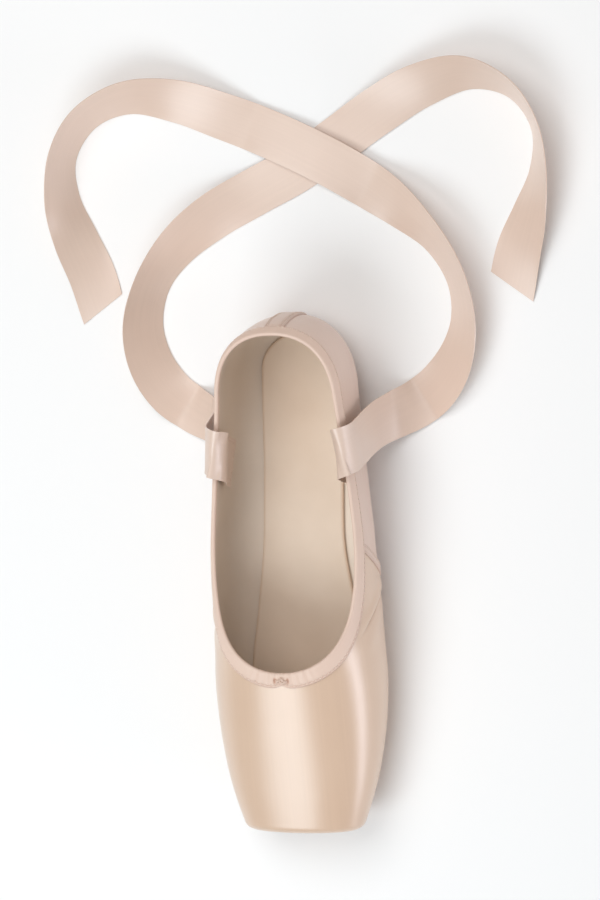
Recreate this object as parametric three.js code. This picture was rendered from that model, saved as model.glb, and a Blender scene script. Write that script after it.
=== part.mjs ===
// Pointe shoe, in millimetres. +X runs from the heel to the toe, +Z is up and the floor is z = 0.
// The origin is on the floor under the middle of the shoe. The last is straight, so either foot fits.
//
// One function, lastPoint, gives the outside of the upper. Every soft piece is a layer between two
// offsets of that function, so upper, binding, seams, insole and outsole follow the same form.
import * as THREE from "three";

// Driving dimensions of the last.
const LENGTH = 238;
const VAMP_LENGTH = 76.5;
const PLATFORM_ROUND = 3;
const HEEL_ROUND = 34;
const HEEL_SQUARENESS = 2.2;
const HEEL_REACH = 60;

// Thicknesses. Touching pieces keep SEAT_GAP between them.
const SEAT_GAP = 0.3;
const INSIDE_GAP = 0.7;
const QUARTER_WALL = 1.3;
const BOX_WALL = 2.8;
const BOX_BEGINS = 140;
const BOX_FULL = 190;
const OUTSOLE_THICK = 2.6;
const OUTSOLE_EDGE_LIFT = 0.9;
const OUTSOLE_FLAT_SHARE = 0.6;
const INSOLE_THICK = 1.5;
const SEAM_THICK = 0.6;

// Places along the shoe, measured from the back of the heel.
const THROAT = LENGTH - VAMP_LENGTH;
const OUTSOLE_SPAN = { from: 1, to: 215, heelRound: 19, tipRound: 26 };
const INSOLE_SPAN = { from: 7, to: 208, heelRound: 17, tipRound: 28 };
const LASTING_MARGIN = 7;
const OPENING_SPAN = { from: 9, to: 206, heelRound: 16, tipRound: 26 };

// Binding round the collar: how far it reaches down outside and inside, and how proud it stands.
const BINDING_OUTSIDE = 6.8;
const BINDING_INSIDE = 5;
const BINDING_LEAF = 0.6;
const BINDING_ROLL = 0.85;
const BINDING_CLEAR = 0.45;
const BINDING_STATIONS = 46;

// Slanting seam between vamp and quarter, and the strip that covers the seam up the heel.
const WING_SEAM = { collarAt: 106, soleAt: 131, halfWidth: 2.4, rows: 12 };
const BACK_STRIP = { halfWidth: 5.2, columns: 4, rows: 12 };
const SEAM_TO_SOLE = 1.6;

// Drawstring knot at the middle of the throat.
const KNOT = { width: 5.4, depth: 3, height: 2 };

// Ribbon ties.
const RIBBON_WIDTH = 22;
const RIBBON_THICK = 0.7;
const RIBBON_STEPS = 64;
const COLLAR_FLARE = 0.1;
const COLLAR_SLOPE = -0.16;
const LANDING_ROWS = { from: 8, to: 11 };
const FLOOR_CLEAR = 0.1;

// Fineness of the upper.
const SECTION_POINTS = 160;
const UPPER_ROWS = 15;
const FINE_STEP = 0.2;
const FINE_SHARE = 0.004;
const WELD = 1e4;

// The back strip stands proud of the heel, so the middle of the shoe lies half that thickness back.
const MIDDLE = (LENGTH - SEAT_GAP - SEAM_THICK) / 2;

// Sections of the last. half is the half width at the widest level, top is where the section would close
// above, and crown and keel are the superellipse exponents above and below the widest level.
const SECTIONS = [
  { at: 0, half: 29.0, widest: 26.0, top: 98.0, crown: 2.0, keel: 3.4 },
  { at: 32, half: 30.0, widest: 25.0, top: 96.0, crown: 2.0, keel: 3.4 },
  { at: 60, half: 32.4, widest: 24.5, top: 91.0, crown: 2.0, keel: 3.3 },
  { at: 88, half: 35.2, widest: 24.0, top: 84.0, crown: 2.0, keel: 3.2 },
  { at: 113, half: 37.4, widest: 23.0, top: 75.0, crown: 2.0, keel: 3.2 },
  { at: 138, half: 38.3, widest: 22.0, top: 64.5, crown: 2.05, keel: 3.3 },
  { at: 158, half: 39.4, widest: 21.2, top: 57.6, crown: 2.1, keel: 3.4 },
  { at: 168, half: 40.0, widest: 21.0, top: 55.0, crown: 2.1, keel: 3.4 },
  { at: 186, half: 39.2, widest: 20.8, top: 50.6, crown: 2.1, keel: 3.2 },
  { at: 200, half: 37.6, widest: 20.8, top: 47.2, crown: 2.1, keel: 2.9 },
  { at: 213, half: 35.2, widest: 21.0, top: 44.0, crown: 2.15, keel: 2.7 },
  { at: 226, half: 31.6, widest: 21.4, top: 40.8, crown: 2.2, keel: 2.5 },
  { at: 238, half: 27.4, widest: 21.8, top: 37.8, crown: 2.2, keel: 2.4 },
];

// Underside of the outsole over the floor: flat at heel and ball, raised at the arch and the toe.
const UNDERSIDE = [
  { at: 0, lift: 0.8 },
  { at: 14, lift: 0 },
  { at: 66, lift: 0 },
  { at: 106, lift: 3.4 },
  { at: 146, lift: 0 },
  { at: 190, lift: 0 },
  { at: 214, lift: 2.0 },
  { at: 238, lift: 4.4 },
];

// Back of the heel from the side: how far it lies in front of the rearmost point at each height.
const HEEL_BACK = [
  { height: 2, forward: 3.2 },
  { height: 8, forward: 1.3 },
  { height: 16, forward: 0.2 },
  { height: 25, forward: 0 },
  { height: 38, forward: 1.2 },
  { height: 50, forward: 4.0 },
  { height: 62, forward: 8.0 },
];

// Edge of the collar from the side.
const COLLAR = [
  { at: 0, height: 58.5 },
  { at: 20, height: 55.2 },
  { at: 40, height: 51.6 },
  { at: 60, height: 48.4 },
  { at: 80, height: 46.0 },
  { at: 100, height: 44.8 },
  { at: 118, height: 45.2 },
  { at: 134, height: 47.2 },
  { at: 146, height: 50.6 },
  { at: 155, height: 53.9 },
  { at: 161.5, height: 56.7 },
];

// Half widths of outsole and insole, before their ends are rounded.
const OUTSOLE_OUTLINE = [
  { at: 0, half: 17.5 },
  { at: 30, half: 19.0 },
  { at: 70, half: 15.5 },
  { at: 104, half: 13.5 },
  { at: 140, half: 20.5 },
  { at: 168, half: 25.5 },
  { at: 190, half: 25.0 },
  { at: 215, half: 21.0 },
];
const INSOLE_OUTLINE = [
  { at: 0, half: 16.5 },
  { at: 30, half: 19.5 },
  { at: 100, half: 19.5 },
  { at: 140, half: 24.5 },
  { at: 168, half: 28.0 },
  { at: 208, half: 24.0 },
];

// Routes of the two ribbon ties, from the stitching inside the quarter over the collar to the floor and
// round behind the heel. roll tips the ribbon about its own line: 0 lies flat, 90 stands on its edge.
const RIBBON_ROUTES = {
  ribbon_tie_left: [
    { x: -50.0, y: 28.8, z: 24.0, roll: 0 },
    { x: -52.5, y: 28.4, z: 34.0, roll: 0 },
    { x: -54.6, y: 26.6, z: 42.0, roll: 0 },
    { x: -56.2, y: 26.4, z: 48.5, roll: 0 },
    { x: -57.7, y: 30.2, z: 52.8, roll: 0 },
    { x: -59.2, y: 34.4, z: 48.5, roll: 0 },
    { x: -61.6, y: 35.8, z: 39.0, roll: 0 },
    { x: -64.6, y: 36.8, z: 27.0, roll: 0 },
    { x: -67.7, y: 39.2, z: 15.0, roll: 0 },
    { x: -70.8, y: 44.8, z: 5.6, roll: 0 },
    { x: -75.0, y: 53.4, z: 1.4, roll: 0 },
    { x: -83.0, y: 64.0, z: 0, roll: -14 },
    { x: -96.0, y: 73.0, z: 0, roll: -32 },
    { x: -113.0, y: 77.5, z: 0, roll: -48 },
    { x: -132.0, y: 75.0, z: 0, roll: -56 },
    { x: -150.0, y: 65.0, z: 0, roll: -50 },
    { x: -165.0, y: 49.0, z: 0, roll: -28 },
    { x: -178.0, y: 30.0, z: 2.4, roll: -6 },
    { x: -190.0, y: 9.0, z: 2.8, roll: 0 },
    { x: -200.0, y: -12.0, z: 2.0, roll: 0 },
    { x: -209.0, y: -34.0, z: 0, roll: -9 },
    { x: -217.0, y: -57.0, z: 0, roll: -26 },
    { x: -219.0, y: -80.0, z: 0, roll: -50 },
    { x: -210.0, y: -100.0, z: 0, roll: -67 },
    { x: -193.0, y: -111.0, z: 0, roll: -72 },
    { x: -173.0, y: -112.0, z: 0, roll: -60 },
    { x: -154.0, y: -107.0, z: 0, roll: -35 },
    { x: -137.0, y: -101.0, z: 0, roll: -12 },
    { x: -121.0, y: -97.0, z: 0, roll: 0 },
  ],
  ribbon_tie_right: [
    { x: -50.0, y: -28.8, z: 24.0, roll: 0 },
    { x: -52.3, y: -28.4, z: 34.0, roll: 0 },
    { x: -54.2, y: -26.6, z: 42.0, roll: 0 },
    { x: -55.6, y: -26.4, z: 48.5, roll: 0 },
    { x: -57.0, y: -30.2, z: 52.8, roll: 0 },
    { x: -58.4, y: -34.4, z: 48.5, roll: 0 },
    { x: -60.6, y: -35.8, z: 39.0, roll: 0 },
    { x: -63.4, y: -36.8, z: 27.0, roll: 0 },
    { x: -66.3, y: -39.2, z: 15.0, roll: 0 },
    { x: -69.2, y: -44.8, z: 5.6, roll: 0 },
    { x: -73.0, y: -53.4, z: 1.4, roll: 0 },
    { x: -81.0, y: -63.6, z: 0, roll: 14 },
    { x: -95.0, y: -72.0, z: 0, roll: 34 },
    { x: -113.0, y: -75.0, z: 0, roll: 50 },
    { x: -132.0, y: -70.0, z: 0, roll: 56 },
    { x: -149.0, y: -58.0, z: 0, roll: 44 },
    { x: -163.0, y: -41.0, z: 0, roll: 20 },
    { x: -174.0, y: -21.0, z: 0, roll: 4 },
    { x: -184.0, y: -1.0, z: 0, roll: 0 },
    { x: -196.0, y: 18.0, z: 0, roll: 0 },
    { x: -209.0, y: 38.0, z: 0, roll: 9 },
    { x: -220.0, y: 59.0, z: 0, roll: 26 },
    { x: -225.0, y: 82.0, z: 0, roll: 50 },
    { x: -217.0, y: 102.0, z: 0, roll: 67 },
    { x: -200.0, y: 113.0, z: 0, roll: 72 },
    { x: -180.0, y: 114.0, z: 0, roll: 60 },
    { x: -161.0, y: 109.0, z: 0, roll: 35 },
    { x: -144.0, y: 103.0, z: 0, roll: 12 },
    { x: -128.0, y: 99.0, z: 0, roll: 0 },
  ],
};

// A smooth curve through one column of a table, which never overshoots its rows.
function smoothColumn(table, column, along = "at") {
  const x = table.map((row) => row[along]);
  const y = table.map((row) => row[column]);
  const last = x.length - 1;
  const chord = x.slice(0, last).map((from, i) => (y[i + 1] - y[i]) / (x[i + 1] - from));
  const slope = x.map((_, i) => {
    if (i === 0) return chord[0];
    if (i === last) return chord[last - 1];
    return chord[i - 1] * chord[i] <= 0 ? 0 : (2 * chord[i - 1] * chord[i]) / (chord[i - 1] + chord[i]);
  });
  return (at) => {
    const t = Math.min(Math.max(at, x[0]), x[last]);
    const i = Math.min(Math.max(x.findIndex((edge) => edge > t) - 1, 0), last - 1);
    const k = t >= x[last] ? last - 1 : i;
    const span = x[k + 1] - x[k];
    const p = (t - x[k]) / span;
    const rise = y[k] * (1 + 2 * p) * (1 - p) ** 2 + y[k + 1] * p * p * (3 - 2 * p);
    return rise + span * (slope[k] * p * (1 - p) ** 2 - slope[k + 1] * p * p * (1 - p));
  };
}

const lastHalf = smoothColumn(SECTIONS, "half");
const lastWidest = smoothColumn(SECTIONS, "widest");
const lastTop = smoothColumn(SECTIONS, "top");
const lastCrown = smoothColumn(SECTIONS, "crown");
const lastKeel = smoothColumn(SECTIONS, "keel");
const underside = smoothColumn(UNDERSIDE, "lift");
const heelBack = smoothColumn(HEEL_BACK, "forward", "height");
const collarHeight = smoothColumn(COLLAR, "height");
const outsoleHalf = smoothColumn(OUTSOLE_OUTLINE, "half");
const insoleHalf = smoothColumn(INSOLE_OUTLINE, "half");

const lastBottom = (at) => underside(at) + OUTSOLE_THICK + SEAT_GAP;

function smoothStep(from, to, at) {
  const t = Math.min(Math.max((at - from) / (to - from), 0), 1);
  return t * t * (3 - 2 * t);
}

const wallAt = (at) => QUARTER_WALL + (BOX_WALL - QUARTER_WALL) * smoothStep(BOX_BEGINS, BOX_FULL, at);

// An outline whose two ends are rounded, zero outside its span.
function roundedHalf(half, span, at) {
  if (at <= span.from || at >= span.to) return 0;
  const fromHeel = Math.min((at - span.from) / span.heelRound, 1);
  const fromTip = Math.min((span.to - at) / span.tipRound, 1);
  return half(at) * Math.sqrt(1 - (1 - fromHeel) ** 2) * Math.sqrt(1 - (1 - fromTip) ** 2);
}

const openingHalf = (at) =>
  Math.max(roundedHalf((s) => outsoleHalf(s) - LASTING_MARGIN, OPENING_SPAN, at), 0);

// The length coordinate runs on past the last section, round the edge of the platform to its middle.
const ROUND_FROM = LENGTH - PLATFORM_ROUND;
const ROUND_TO = ROUND_FROM + (PLATFORM_ROUND * Math.PI) / 2;
const PLATFORM_MIDDLE = ROUND_TO + 20;

function platformEdge(along) {
  if (along <= ROUND_FROM) return { at: along, inset: 0, shrink: 1 };
  const turn = Math.min((along - ROUND_FROM) / PLATFORM_ROUND, Math.PI / 2);
  return {
    at: ROUND_FROM + PLATFORM_ROUND * Math.sin(turn),
    inset: PLATFORM_ROUND * (1 - Math.cos(turn)),
    shrink: 1 - Math.max(along - ROUND_TO, 0) / (PLATFORM_MIDDLE - ROUND_TO),
  };
}

function heelClosing(at) {
  if (at >= HEEL_ROUND) return 1;
  return (1 - (1 - at / HEEL_ROUND) ** HEEL_SQUARENESS) ** (1 / HEEL_SQUARENESS);
}

// Half of one section, from the middle of the bottom round the side to the middle of the top.
const sectionCache = new Map();
function sectionAt(along) {
  if (sectionCache.has(along)) return sectionCache.get(along);
  const { at, inset, shrink } = platformEdge(along);
  const half = (lastHalf(at) * heelClosing(at) - inset) * shrink;
  const widest = lastWidest(at);
  const rise = (lastTop(at) - inset - widest) * shrink;
  const drop = (widest - lastBottom(at) - inset) * shrink;
  const points = [];
  for (let i = 0; i <= SECTION_POINTS; i++) {
    const angle = -Math.PI / 2 + (Math.PI * i) / SECTION_POINTS;
    const below = angle < 0;
    const power = 2 / (below ? lastKeel(at) : lastCrown(at));
    const y = half * Math.max(Math.cos(angle), 0) ** power;
    const z = widest + (below ? -drop : rise) * Math.abs(Math.sin(angle)) ** power;
    points.push({ y: i % SECTION_POINTS ? y : 0, z, run: 0 });
  }
  for (let i = 1; i < points.length; i++) {
    const { y, z, run } = points[i - 1];
    points[i].run = run + Math.hypot(points[i].y - y, points[i].z - z);
  }
  const section = { at, widest, points, girth: points[SECTION_POINTS].run };
  sectionCache.set(along, section);
  return section;
}

// A point on the outside of the upper: along is the length coordinate and share is 0 at the middle of
// the bottom, 1 at the middle of the top.
function lastPoint(along, share) {
  const { at, points, girth } = sectionAt(along);
  const run = Math.min(Math.max(share, 0), 1) * girth;
  let i = 1;
  while (i < SECTION_POINTS && points[i].run < run) i++;
  const [a, b] = [points[i - 1], points[i]];
  const part = b.run > a.run ? (run - a.run) / (b.run - a.run) : 0;
  const z = a.z + part * (b.z - a.z);
  const fade = at < HEEL_REACH ? (1 - at / HEEL_REACH) ** 2 : 0;
  return new THREE.Vector3(at + heelBack(z) * fade - MIDDLE, a.y + part * (b.y - a.y), z);
}

function slopes(along, share) {
  const ahead = lastPoint(along + FINE_STEP, share);
  const behind = lastPoint(Math.max(along - FINE_STEP, 0), share);
  const above = lastPoint(along, Math.min(share + FINE_SHARE, 1));
  const below = lastPoint(along, Math.max(share - FINE_SHARE, 0));
  const stepAlong = along > FINE_STEP ? 2 * FINE_STEP : along + FINE_STEP;
  const stepShare = Math.min(share + FINE_SHARE, 1) - Math.max(share - FINE_SHARE, 0);
  return {
    byLength: ahead.sub(behind).divideScalar(stepAlong),
    byShare: above.sub(below).divideScalar(stepShare),
  };
}

function lastNormal(along, share) {
  if (along >= ROUND_TO) return new THREE.Vector3(1, 0, 0);
  const { byLength, byShare } = slopes(along, share);
  const normal = byShare.cross(byLength).normalize();
  if (along < FINE_STEP || share <= 0 || share >= 1) normal.y = 0;
  return normal.normalize();
}

const layerPoint = (along, share, offset) =>
  lastPoint(along, share).addScaledVector(lastNormal(along, share), offset);

// Shares at which a section reaches a height above its widest level, or a half width below it.
function shareAtHeight(along, height) {
  const { points, girth, widest } = sectionAt(along);
  const i = points.findIndex((p) => p.z >= Math.max(height, widest));
  if (i < 1) return 1;
  const part = (height - points[i - 1].z) / (points[i].z - points[i - 1].z);
  return (points[i - 1].run + part * (points[i].run - points[i - 1].run)) / girth;
}

function shareAtHalfWidth(along, half) {
  const { points, girth } = sectionAt(along);
  if (half <= 0) return 0;
  const i = Math.max(points.findIndex((p) => p.y >= half), 1);
  const part = (half - points[i - 1].y) / (points[i].y - points[i - 1].y);
  return (points[i - 1].run + part * (points[i].run - points[i - 1].run)) / girth;
}

const collarShare = (along) => (along >= THROAT ? 1 : shareAtHeight(along, collarHeight(along)));
const openingShare = (along) => shareAtHalfWidth(along, openingHalf(along));

// Closed solids from four-cornered faces, with shared corners welded and empty triangles left out.
function solidFromFaces(faces) {
  const places = new Map();
  const corners = [];
  const index = [];
  const cornerOf = (p) => {
    const key = [p.x, p.y, p.z].map((v) => Math.round(v * WELD)).join();
    if (!places.has(key)) {
      places.set(key, places.size);
      corners.push(p.x, p.y, p.z);
    }
    return places.get(key);
  };
  for (const face of faces) {
    const [a, b, c, d] = face.map(cornerOf);
    for (const [p, q, r] of [[a, b, c], [a, c, d]]) if (p !== q && q !== r && r !== p) index.push(p, q, r);
  }
  const at = (i) => new THREE.Vector3().fromArray(corners, 3 * i);
  let volume = 0;
  for (let i = 0; i < index.length; i += 3) {
    volume += at(index[i]).dot(at(index[i + 1]).cross(at(index[i + 2])));
  }
  const geometry = new THREE.BufferGeometry();
  geometry.setAttribute("position", new THREE.Float32BufferAttribute(corners, 3));
  geometry.setIndex(volume > 0 ? index : index.reverse());
  return geometry;
}

const mirrored = (p) => new THREE.Vector3(p.x, -p.y, p.z);
const flipped = (faces) => faces.map(([a, b, c, d]) => [a, d, c, b]);
const mirrorFaces = (faces) => flipped(faces).map((face) => face.map(mirrored));

// Faces between the neighbouring rows of a grid of points.
function gridFaces(grid) {
  const faces = [];
  for (let i = 0; i + 1 < grid.length; i++)
    for (let j = 0; j + 1 < grid[i].length; j++)
      faces.push([grid[i][j], grid[i + 1][j], grid[i + 1][j + 1], grid[i][j + 1]]);
  return faces;
}

// A slab between an outer and an inner grid, closed on all four sides.
function slabFaces(outer, inner) {
  const rim = (a, b) => gridFaces([a, b]);
  const column = (grid, j) => grid.map((row) => row[j]);
  const lastColumn = outer[0].length - 1;
  const lastRow = outer.length - 1;
  return [
    ...gridFaces(outer),
    ...flipped(gridFaces(inner)),
    ...rim(inner[0], outer[0]),
    ...rim(outer[lastRow], inner[lastRow]),
    ...rim(column(outer, 0), column(inner, 0)),
    ...rim(column(inner, lastColumn), column(outer, lastColumn)),
  ];
}

function evenSteps(from, to, count) {
  return Array.from({ length: count + 1 }, (_, i) => from * (1 - i / count) + to * (i / count));
}

// Steps that close up towards the end of the stretch, or towards its beginning.
const closingSteps = (from, to, count) =>
  evenSteps(0, 1, count).map((t) => from + (to - from) * Math.sin((t * Math.PI) / 2));
const openingSteps = (from, to, count) =>
  evenSteps(0, 1, count).map((t) => to + (from - to) * Math.cos((t * Math.PI) / 2));

// Hollow upper: quarters, vamp, wings and box are one wall, open at the collar and underneath.
function upperGeometry() {
  const columns = [
    ...openingSteps(0, 40, 7),
    ...evenSteps(40, 145, 14).slice(1),
    ...closingSteps(145, THROAT, 6).slice(1),
    ...closingSteps(THROAT, OPENING_SPAN.to, 7).slice(1),
    ...evenSteps(OPENING_SPAN.to, ROUND_FROM, 3).slice(1),
    ...evenSteps(ROUND_FROM, ROUND_TO, 3).slice(1),
    ...evenSteps(ROUND_TO, PLATFORM_MIDDLE, 2).slice(1),
  ];
  const outer = [];
  const inner = [];
  for (const along of columns) {
    const wall = wallAt(along);
    const lowest = lastBottom(Math.min(along, LENGTH)) + wall;
    const shares = evenSteps(openingShare(along), collarShare(along), UPPER_ROWS);
    outer.push(shares.map((share) => lastPoint(along, share)));
    inner.push(
      shares.map((share) => {
        const p = layerPoint(along, share, -wall);
        return p.setZ(Math.max(p.z, lowest));
      }),
    );
  }
  const half = [...gridFaces(outer), ...flipped(gridFaces(inner))];
  const rimFaces = (i, row) => gridFaces([i, i + 1].map((k) => [outer[k].at(row), inner[k].at(row)]));
  for (let i = 0; i + 1 < columns.length; i++) {
    const opens = openingHalf(columns[i]) > 0 || openingHalf(columns[i + 1]) > 0;
    if (columns[i] < THROAT) half.push(...rimFaces(i, -1));
    if (opens) half.push(...flipped(rimFaces(i, 0)));
  }
  return solidFromFaces([...half, ...mirrorFaces(half)]);
}

// A layer under the foot: stations along, steps across, with the half width given at each station.
function soleLayer(stations, across, halfAt, pointsAt) {
  const upperFace = [];
  const lowerFace = [];
  for (const along of stations) {
    const pairs = across.map((side) => {
      const half = Math.abs(side) * halfAt(along);
      const pair = pointsAt(along, shareAtHalfWidth(along, half), Math.abs(side));
      return side < 0 ? pair.map(mirrored) : pair;
    });
    upperFace.push(pairs.map(([above]) => above));
    lowerFace.push(pairs.map(([, below]) => below));
  }
  return solidFromFaces(slabFaces(upperFace, lowerFace));
}

function soleStations(span, middle) {
  return [
    ...openingSteps(span.from, span.from + span.heelRound, 5),
    ...evenSteps(span.from + span.heelRound, span.to - span.tipRound, middle).slice(1),
    ...closingSteps(span.to - span.tipRound, span.to, 5).slice(1),
  ];
}

const SOLE_ACROSS = [-1, -0.82, -OUTSOLE_FLAT_SHARE, -0.3, 0, 0.3, OUTSOLE_FLAT_SHARE, 0.82, 1];

function outsoleGeometry() {
  const half = (along) => roundedHalf(outsoleHalf, OUTSOLE_SPAN, along);
  return soleLayer(soleStations(OUTSOLE_SPAN, 17), SOLE_ACROSS, half, (along, share, side) => {
    const above = layerPoint(along, share, SEAT_GAP);
    const edge = Math.max(side - OUTSOLE_FLAT_SHARE, 0) / (1 - OUTSOLE_FLAT_SHARE);
    return [above, above.clone().setZ(underside(along) + OUTSOLE_EDGE_LIFT * edge * edge)];
  });
}

function insoleGeometry() {
  const half = (along) => roundedHalf(insoleHalf, INSOLE_SPAN, along);
  return soleLayer(soleStations(INSOLE_SPAN, 13), SOLE_ACROSS, half, (along, share) => {
    const depth = wallAt(along) + INSIDE_GAP;
    return [layerPoint(along, share, -depth - INSOLE_THICK), layerPoint(along, share, -depth)];
  });
}

// The collar as a closed loop of stations with equal steps, each with its own axes: out is the normal of
// the upper and away runs along the upper, away from the opening.
function collarStations() {
  const fine = closingSteps(0, THROAT, 600).reverse();
  const edge = fine.map((along) => lastPoint(along, collarShare(along)));
  const run = [0];
  for (let i = 1; i < edge.length; i++) run.push(run[i - 1] + edge[i].distanceTo(edge[i - 1]));
  const half = evenSteps(0, run.at(-1), BINDING_STATIONS).map((goal) => {
    const i = Math.max(run.findIndex((r) => r >= goal - 1e-9), 1);
    const part = (goal - run[i - 1]) / (run[i] - run[i - 1]);
    return fine[i - 1] + part * (fine[i] - fine[i - 1]);
  });
  const point = (i) => {
    const place = Math.min(Math.abs(i), 2 * BINDING_STATIONS - Math.abs(i));
    const p = lastPoint(half[place], collarShare(half[place]));
    return i < 0 || i > BINDING_STATIONS ? mirrored(p) : p;
  };
  return half.map((along, i) => {
    const out = lastNormal(along, collarShare(along));
    const tangent = point(i + 1).sub(point(i - 1)).normalize();
    return { along, share: collarShare(along), edge: point(i), out, away: tangent.cross(out).normalize() };
  });
}

// A walk over the outside of the upper from a collar station, straight away from the opening.
function walkAway(station, distance) {
  let { along, share } = station;
  const steps = Math.ceil(distance / 1.5);
  for (let i = 0; i < steps; i++) {
    const { byLength: u, byShare: v } = slopes(along, share);
    const goal = station.away.clone().multiplyScalar(distance / steps);
    const [uu, uv, vv] = [u.dot(u), u.dot(v), v.dot(v)];
    const [gu, gv] = [goal.dot(u), goal.dot(v)];
    along = Math.max(along + (gu * vv - gv * uv) / (uu * vv - uv * uv), 0);
    share = Math.min(share + (gv * uu - gu * uv) / (uu * vv - uv * uv), 1);
  }
  return { along, share: station.share === 1 ? 1 : share };
}

function bindingPoint(station, down, offset) {
  if (down <= 0) {
    return station.edge.clone().addScaledVector(station.away, down).addScaledVector(station.out, offset);
  }
  const { along, share } = walkAway(station, down);
  return layerPoint(along, share, offset);
}

// Binding folded over the collar, with its drawstring channel as the thicker roll near the edge.
function bindingGeometry() {
  const rings = collarStations().map((station) => {
    const wall = wallAt(station.along);
    const [outer, inner] = [SEAT_GAP, -wall - INSIDE_GAP];
    return [
      [BINDING_OUTSIDE, outer],
      [BINDING_OUTSIDE, outer + BINDING_LEAF],
      [BINDING_OUTSIDE * 0.5, outer + BINDING_ROLL],
      [0.5, outer + BINDING_ROLL],
      [-1.0, outer + 0.6],
      [-1.6, -wall / 2],
      [-1.0, inner - 0.6],
      [0.5, inner - BINDING_ROLL],
      [BINDING_INSIDE * 0.6, inner - BINDING_ROLL],
      [BINDING_INSIDE, inner - BINDING_LEAF],
      [BINDING_INSIDE, inner],
      [-BINDING_CLEAR, inner],
      [-BINDING_CLEAR, outer],
      [BINDING_OUTSIDE * 0.5, outer],
      [BINDING_OUTSIDE, outer],
    ].map(([down, offset]) => bindingPoint(station, down, offset));
  });
  const half = gridFaces(rings);
  return solidFromFaces([...half, ...mirrorFaces(half)]);
}

// A thin strip on the upper: the two grids lie at the seat gap and at the seat gap plus its thickness.
function stripFaces(grid) {
  const middle = (grid[0].length - 1) / 2;
  const proud = (j) => SEAT_GAP + SEAM_THICK * (1 - 0.35 * Math.abs(j / middle - 1));
  const outer = grid.map((row) => row.map(({ along, share }, j) => layerPoint(along, share, proud(j))));
  const inner = grid.map((row) => row.map(({ along, share }) => layerPoint(along, share, SEAT_GAP)));
  return slabFaces(outer, inner);
}

function wingSeamFaces() {
  const { collarAt, soleAt, halfWidth, rows } = WING_SEAM;
  const below = (BINDING_OUTSIDE + SEAT_GAP + 1) / sectionAt(collarAt).girth;
  const from = collarShare(collarAt) - below;
  const to = shareAtHalfWidth(soleAt, outsoleHalf(soleAt) + SEAM_TO_SOLE + 1);
  const drop = (from - to) * sectionAt(collarAt).girth;
  const slant = Math.atan2(soleAt - collarAt, drop);
  const grid = evenSteps(0, 1, rows).map((t) => {
    const along = collarAt + (soleAt - collarAt) * t;
    return [-1, 0, 1].map((side) => ({
      along: along + side * halfWidth * Math.cos(slant),
      share: from + (to - from) * t + (side * halfWidth * Math.sin(slant)) / sectionAt(along).girth,
    }));
  });
  return stripFaces(grid);
}

function backStripGeometry() {
  const { halfWidth, columns, rows } = BACK_STRIP;
  const lengthAt = (y) => {
    const part = (Math.abs(y) / lastHalf(0)) ** HEEL_SQUARENESS;
    return HEEL_ROUND * (1 - (1 - part) ** (1 / HEEL_SQUARENESS));
  };
  const top = collarHeight(0) - BINDING_OUTSIDE - SEAT_GAP - 0.4;
  const bottom = lastBottom(0) + SEAM_TO_SOLE;
  const sides = evenSteps(-1, 1, columns);
  const layer = (offset) =>
    evenSteps(top, bottom, rows).map((height) =>
      sides.map((side) => {
        const along = lengthAt(side * halfWidth);
        const share = height > lastWidest(0) ? shareAtHeight(along, height) : shareBelow(along, height);
        const p = layerPoint(along, share, offset(side));
        return side < 0 ? mirrored(p) : p;
      }),
    );
  const outer = layer((side) => SEAT_GAP + SEAM_THICK * (1 - 0.35 * Math.abs(side)));
  const inner = layer(() => SEAT_GAP);
  return solidFromFaces(slabFaces(outer, inner));
}

function shareBelow(along, height) {
  const { points, girth } = sectionAt(along);
  const i = Math.max(points.findIndex((p) => p.z >= height), 1);
  const part = (height - points[i - 1].z) / (points[i].z - points[i - 1].z);
  return (points[i - 1].run + part * (points[i].run - points[i - 1].run)) / girth;
}

// Small knot of the drawstring, lying on the binding at the middle of the throat.
function knotGeometry() {
  const { edge, out, away } = collarStations()[0];
  const seat = SEAT_GAP + BINDING_ROLL + SEAT_GAP + KNOT.height / 2;
  const axes = new THREE.Matrix4().makeBasis(new THREE.Vector3(0, 1, 0), out, away);
  const place = edge.clone().addScaledVector(out, seat).addScaledVector(away, 1.5);
  const bead = new THREE.SphereGeometry(0.5, 14, 10).scale(KNOT.width, KNOT.height, KNOT.depth);
  bead.deleteAttribute("uv");
  bead.deleteAttribute("normal");
  return bead.applyMatrix4(axes.setPosition(place));
}

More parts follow.
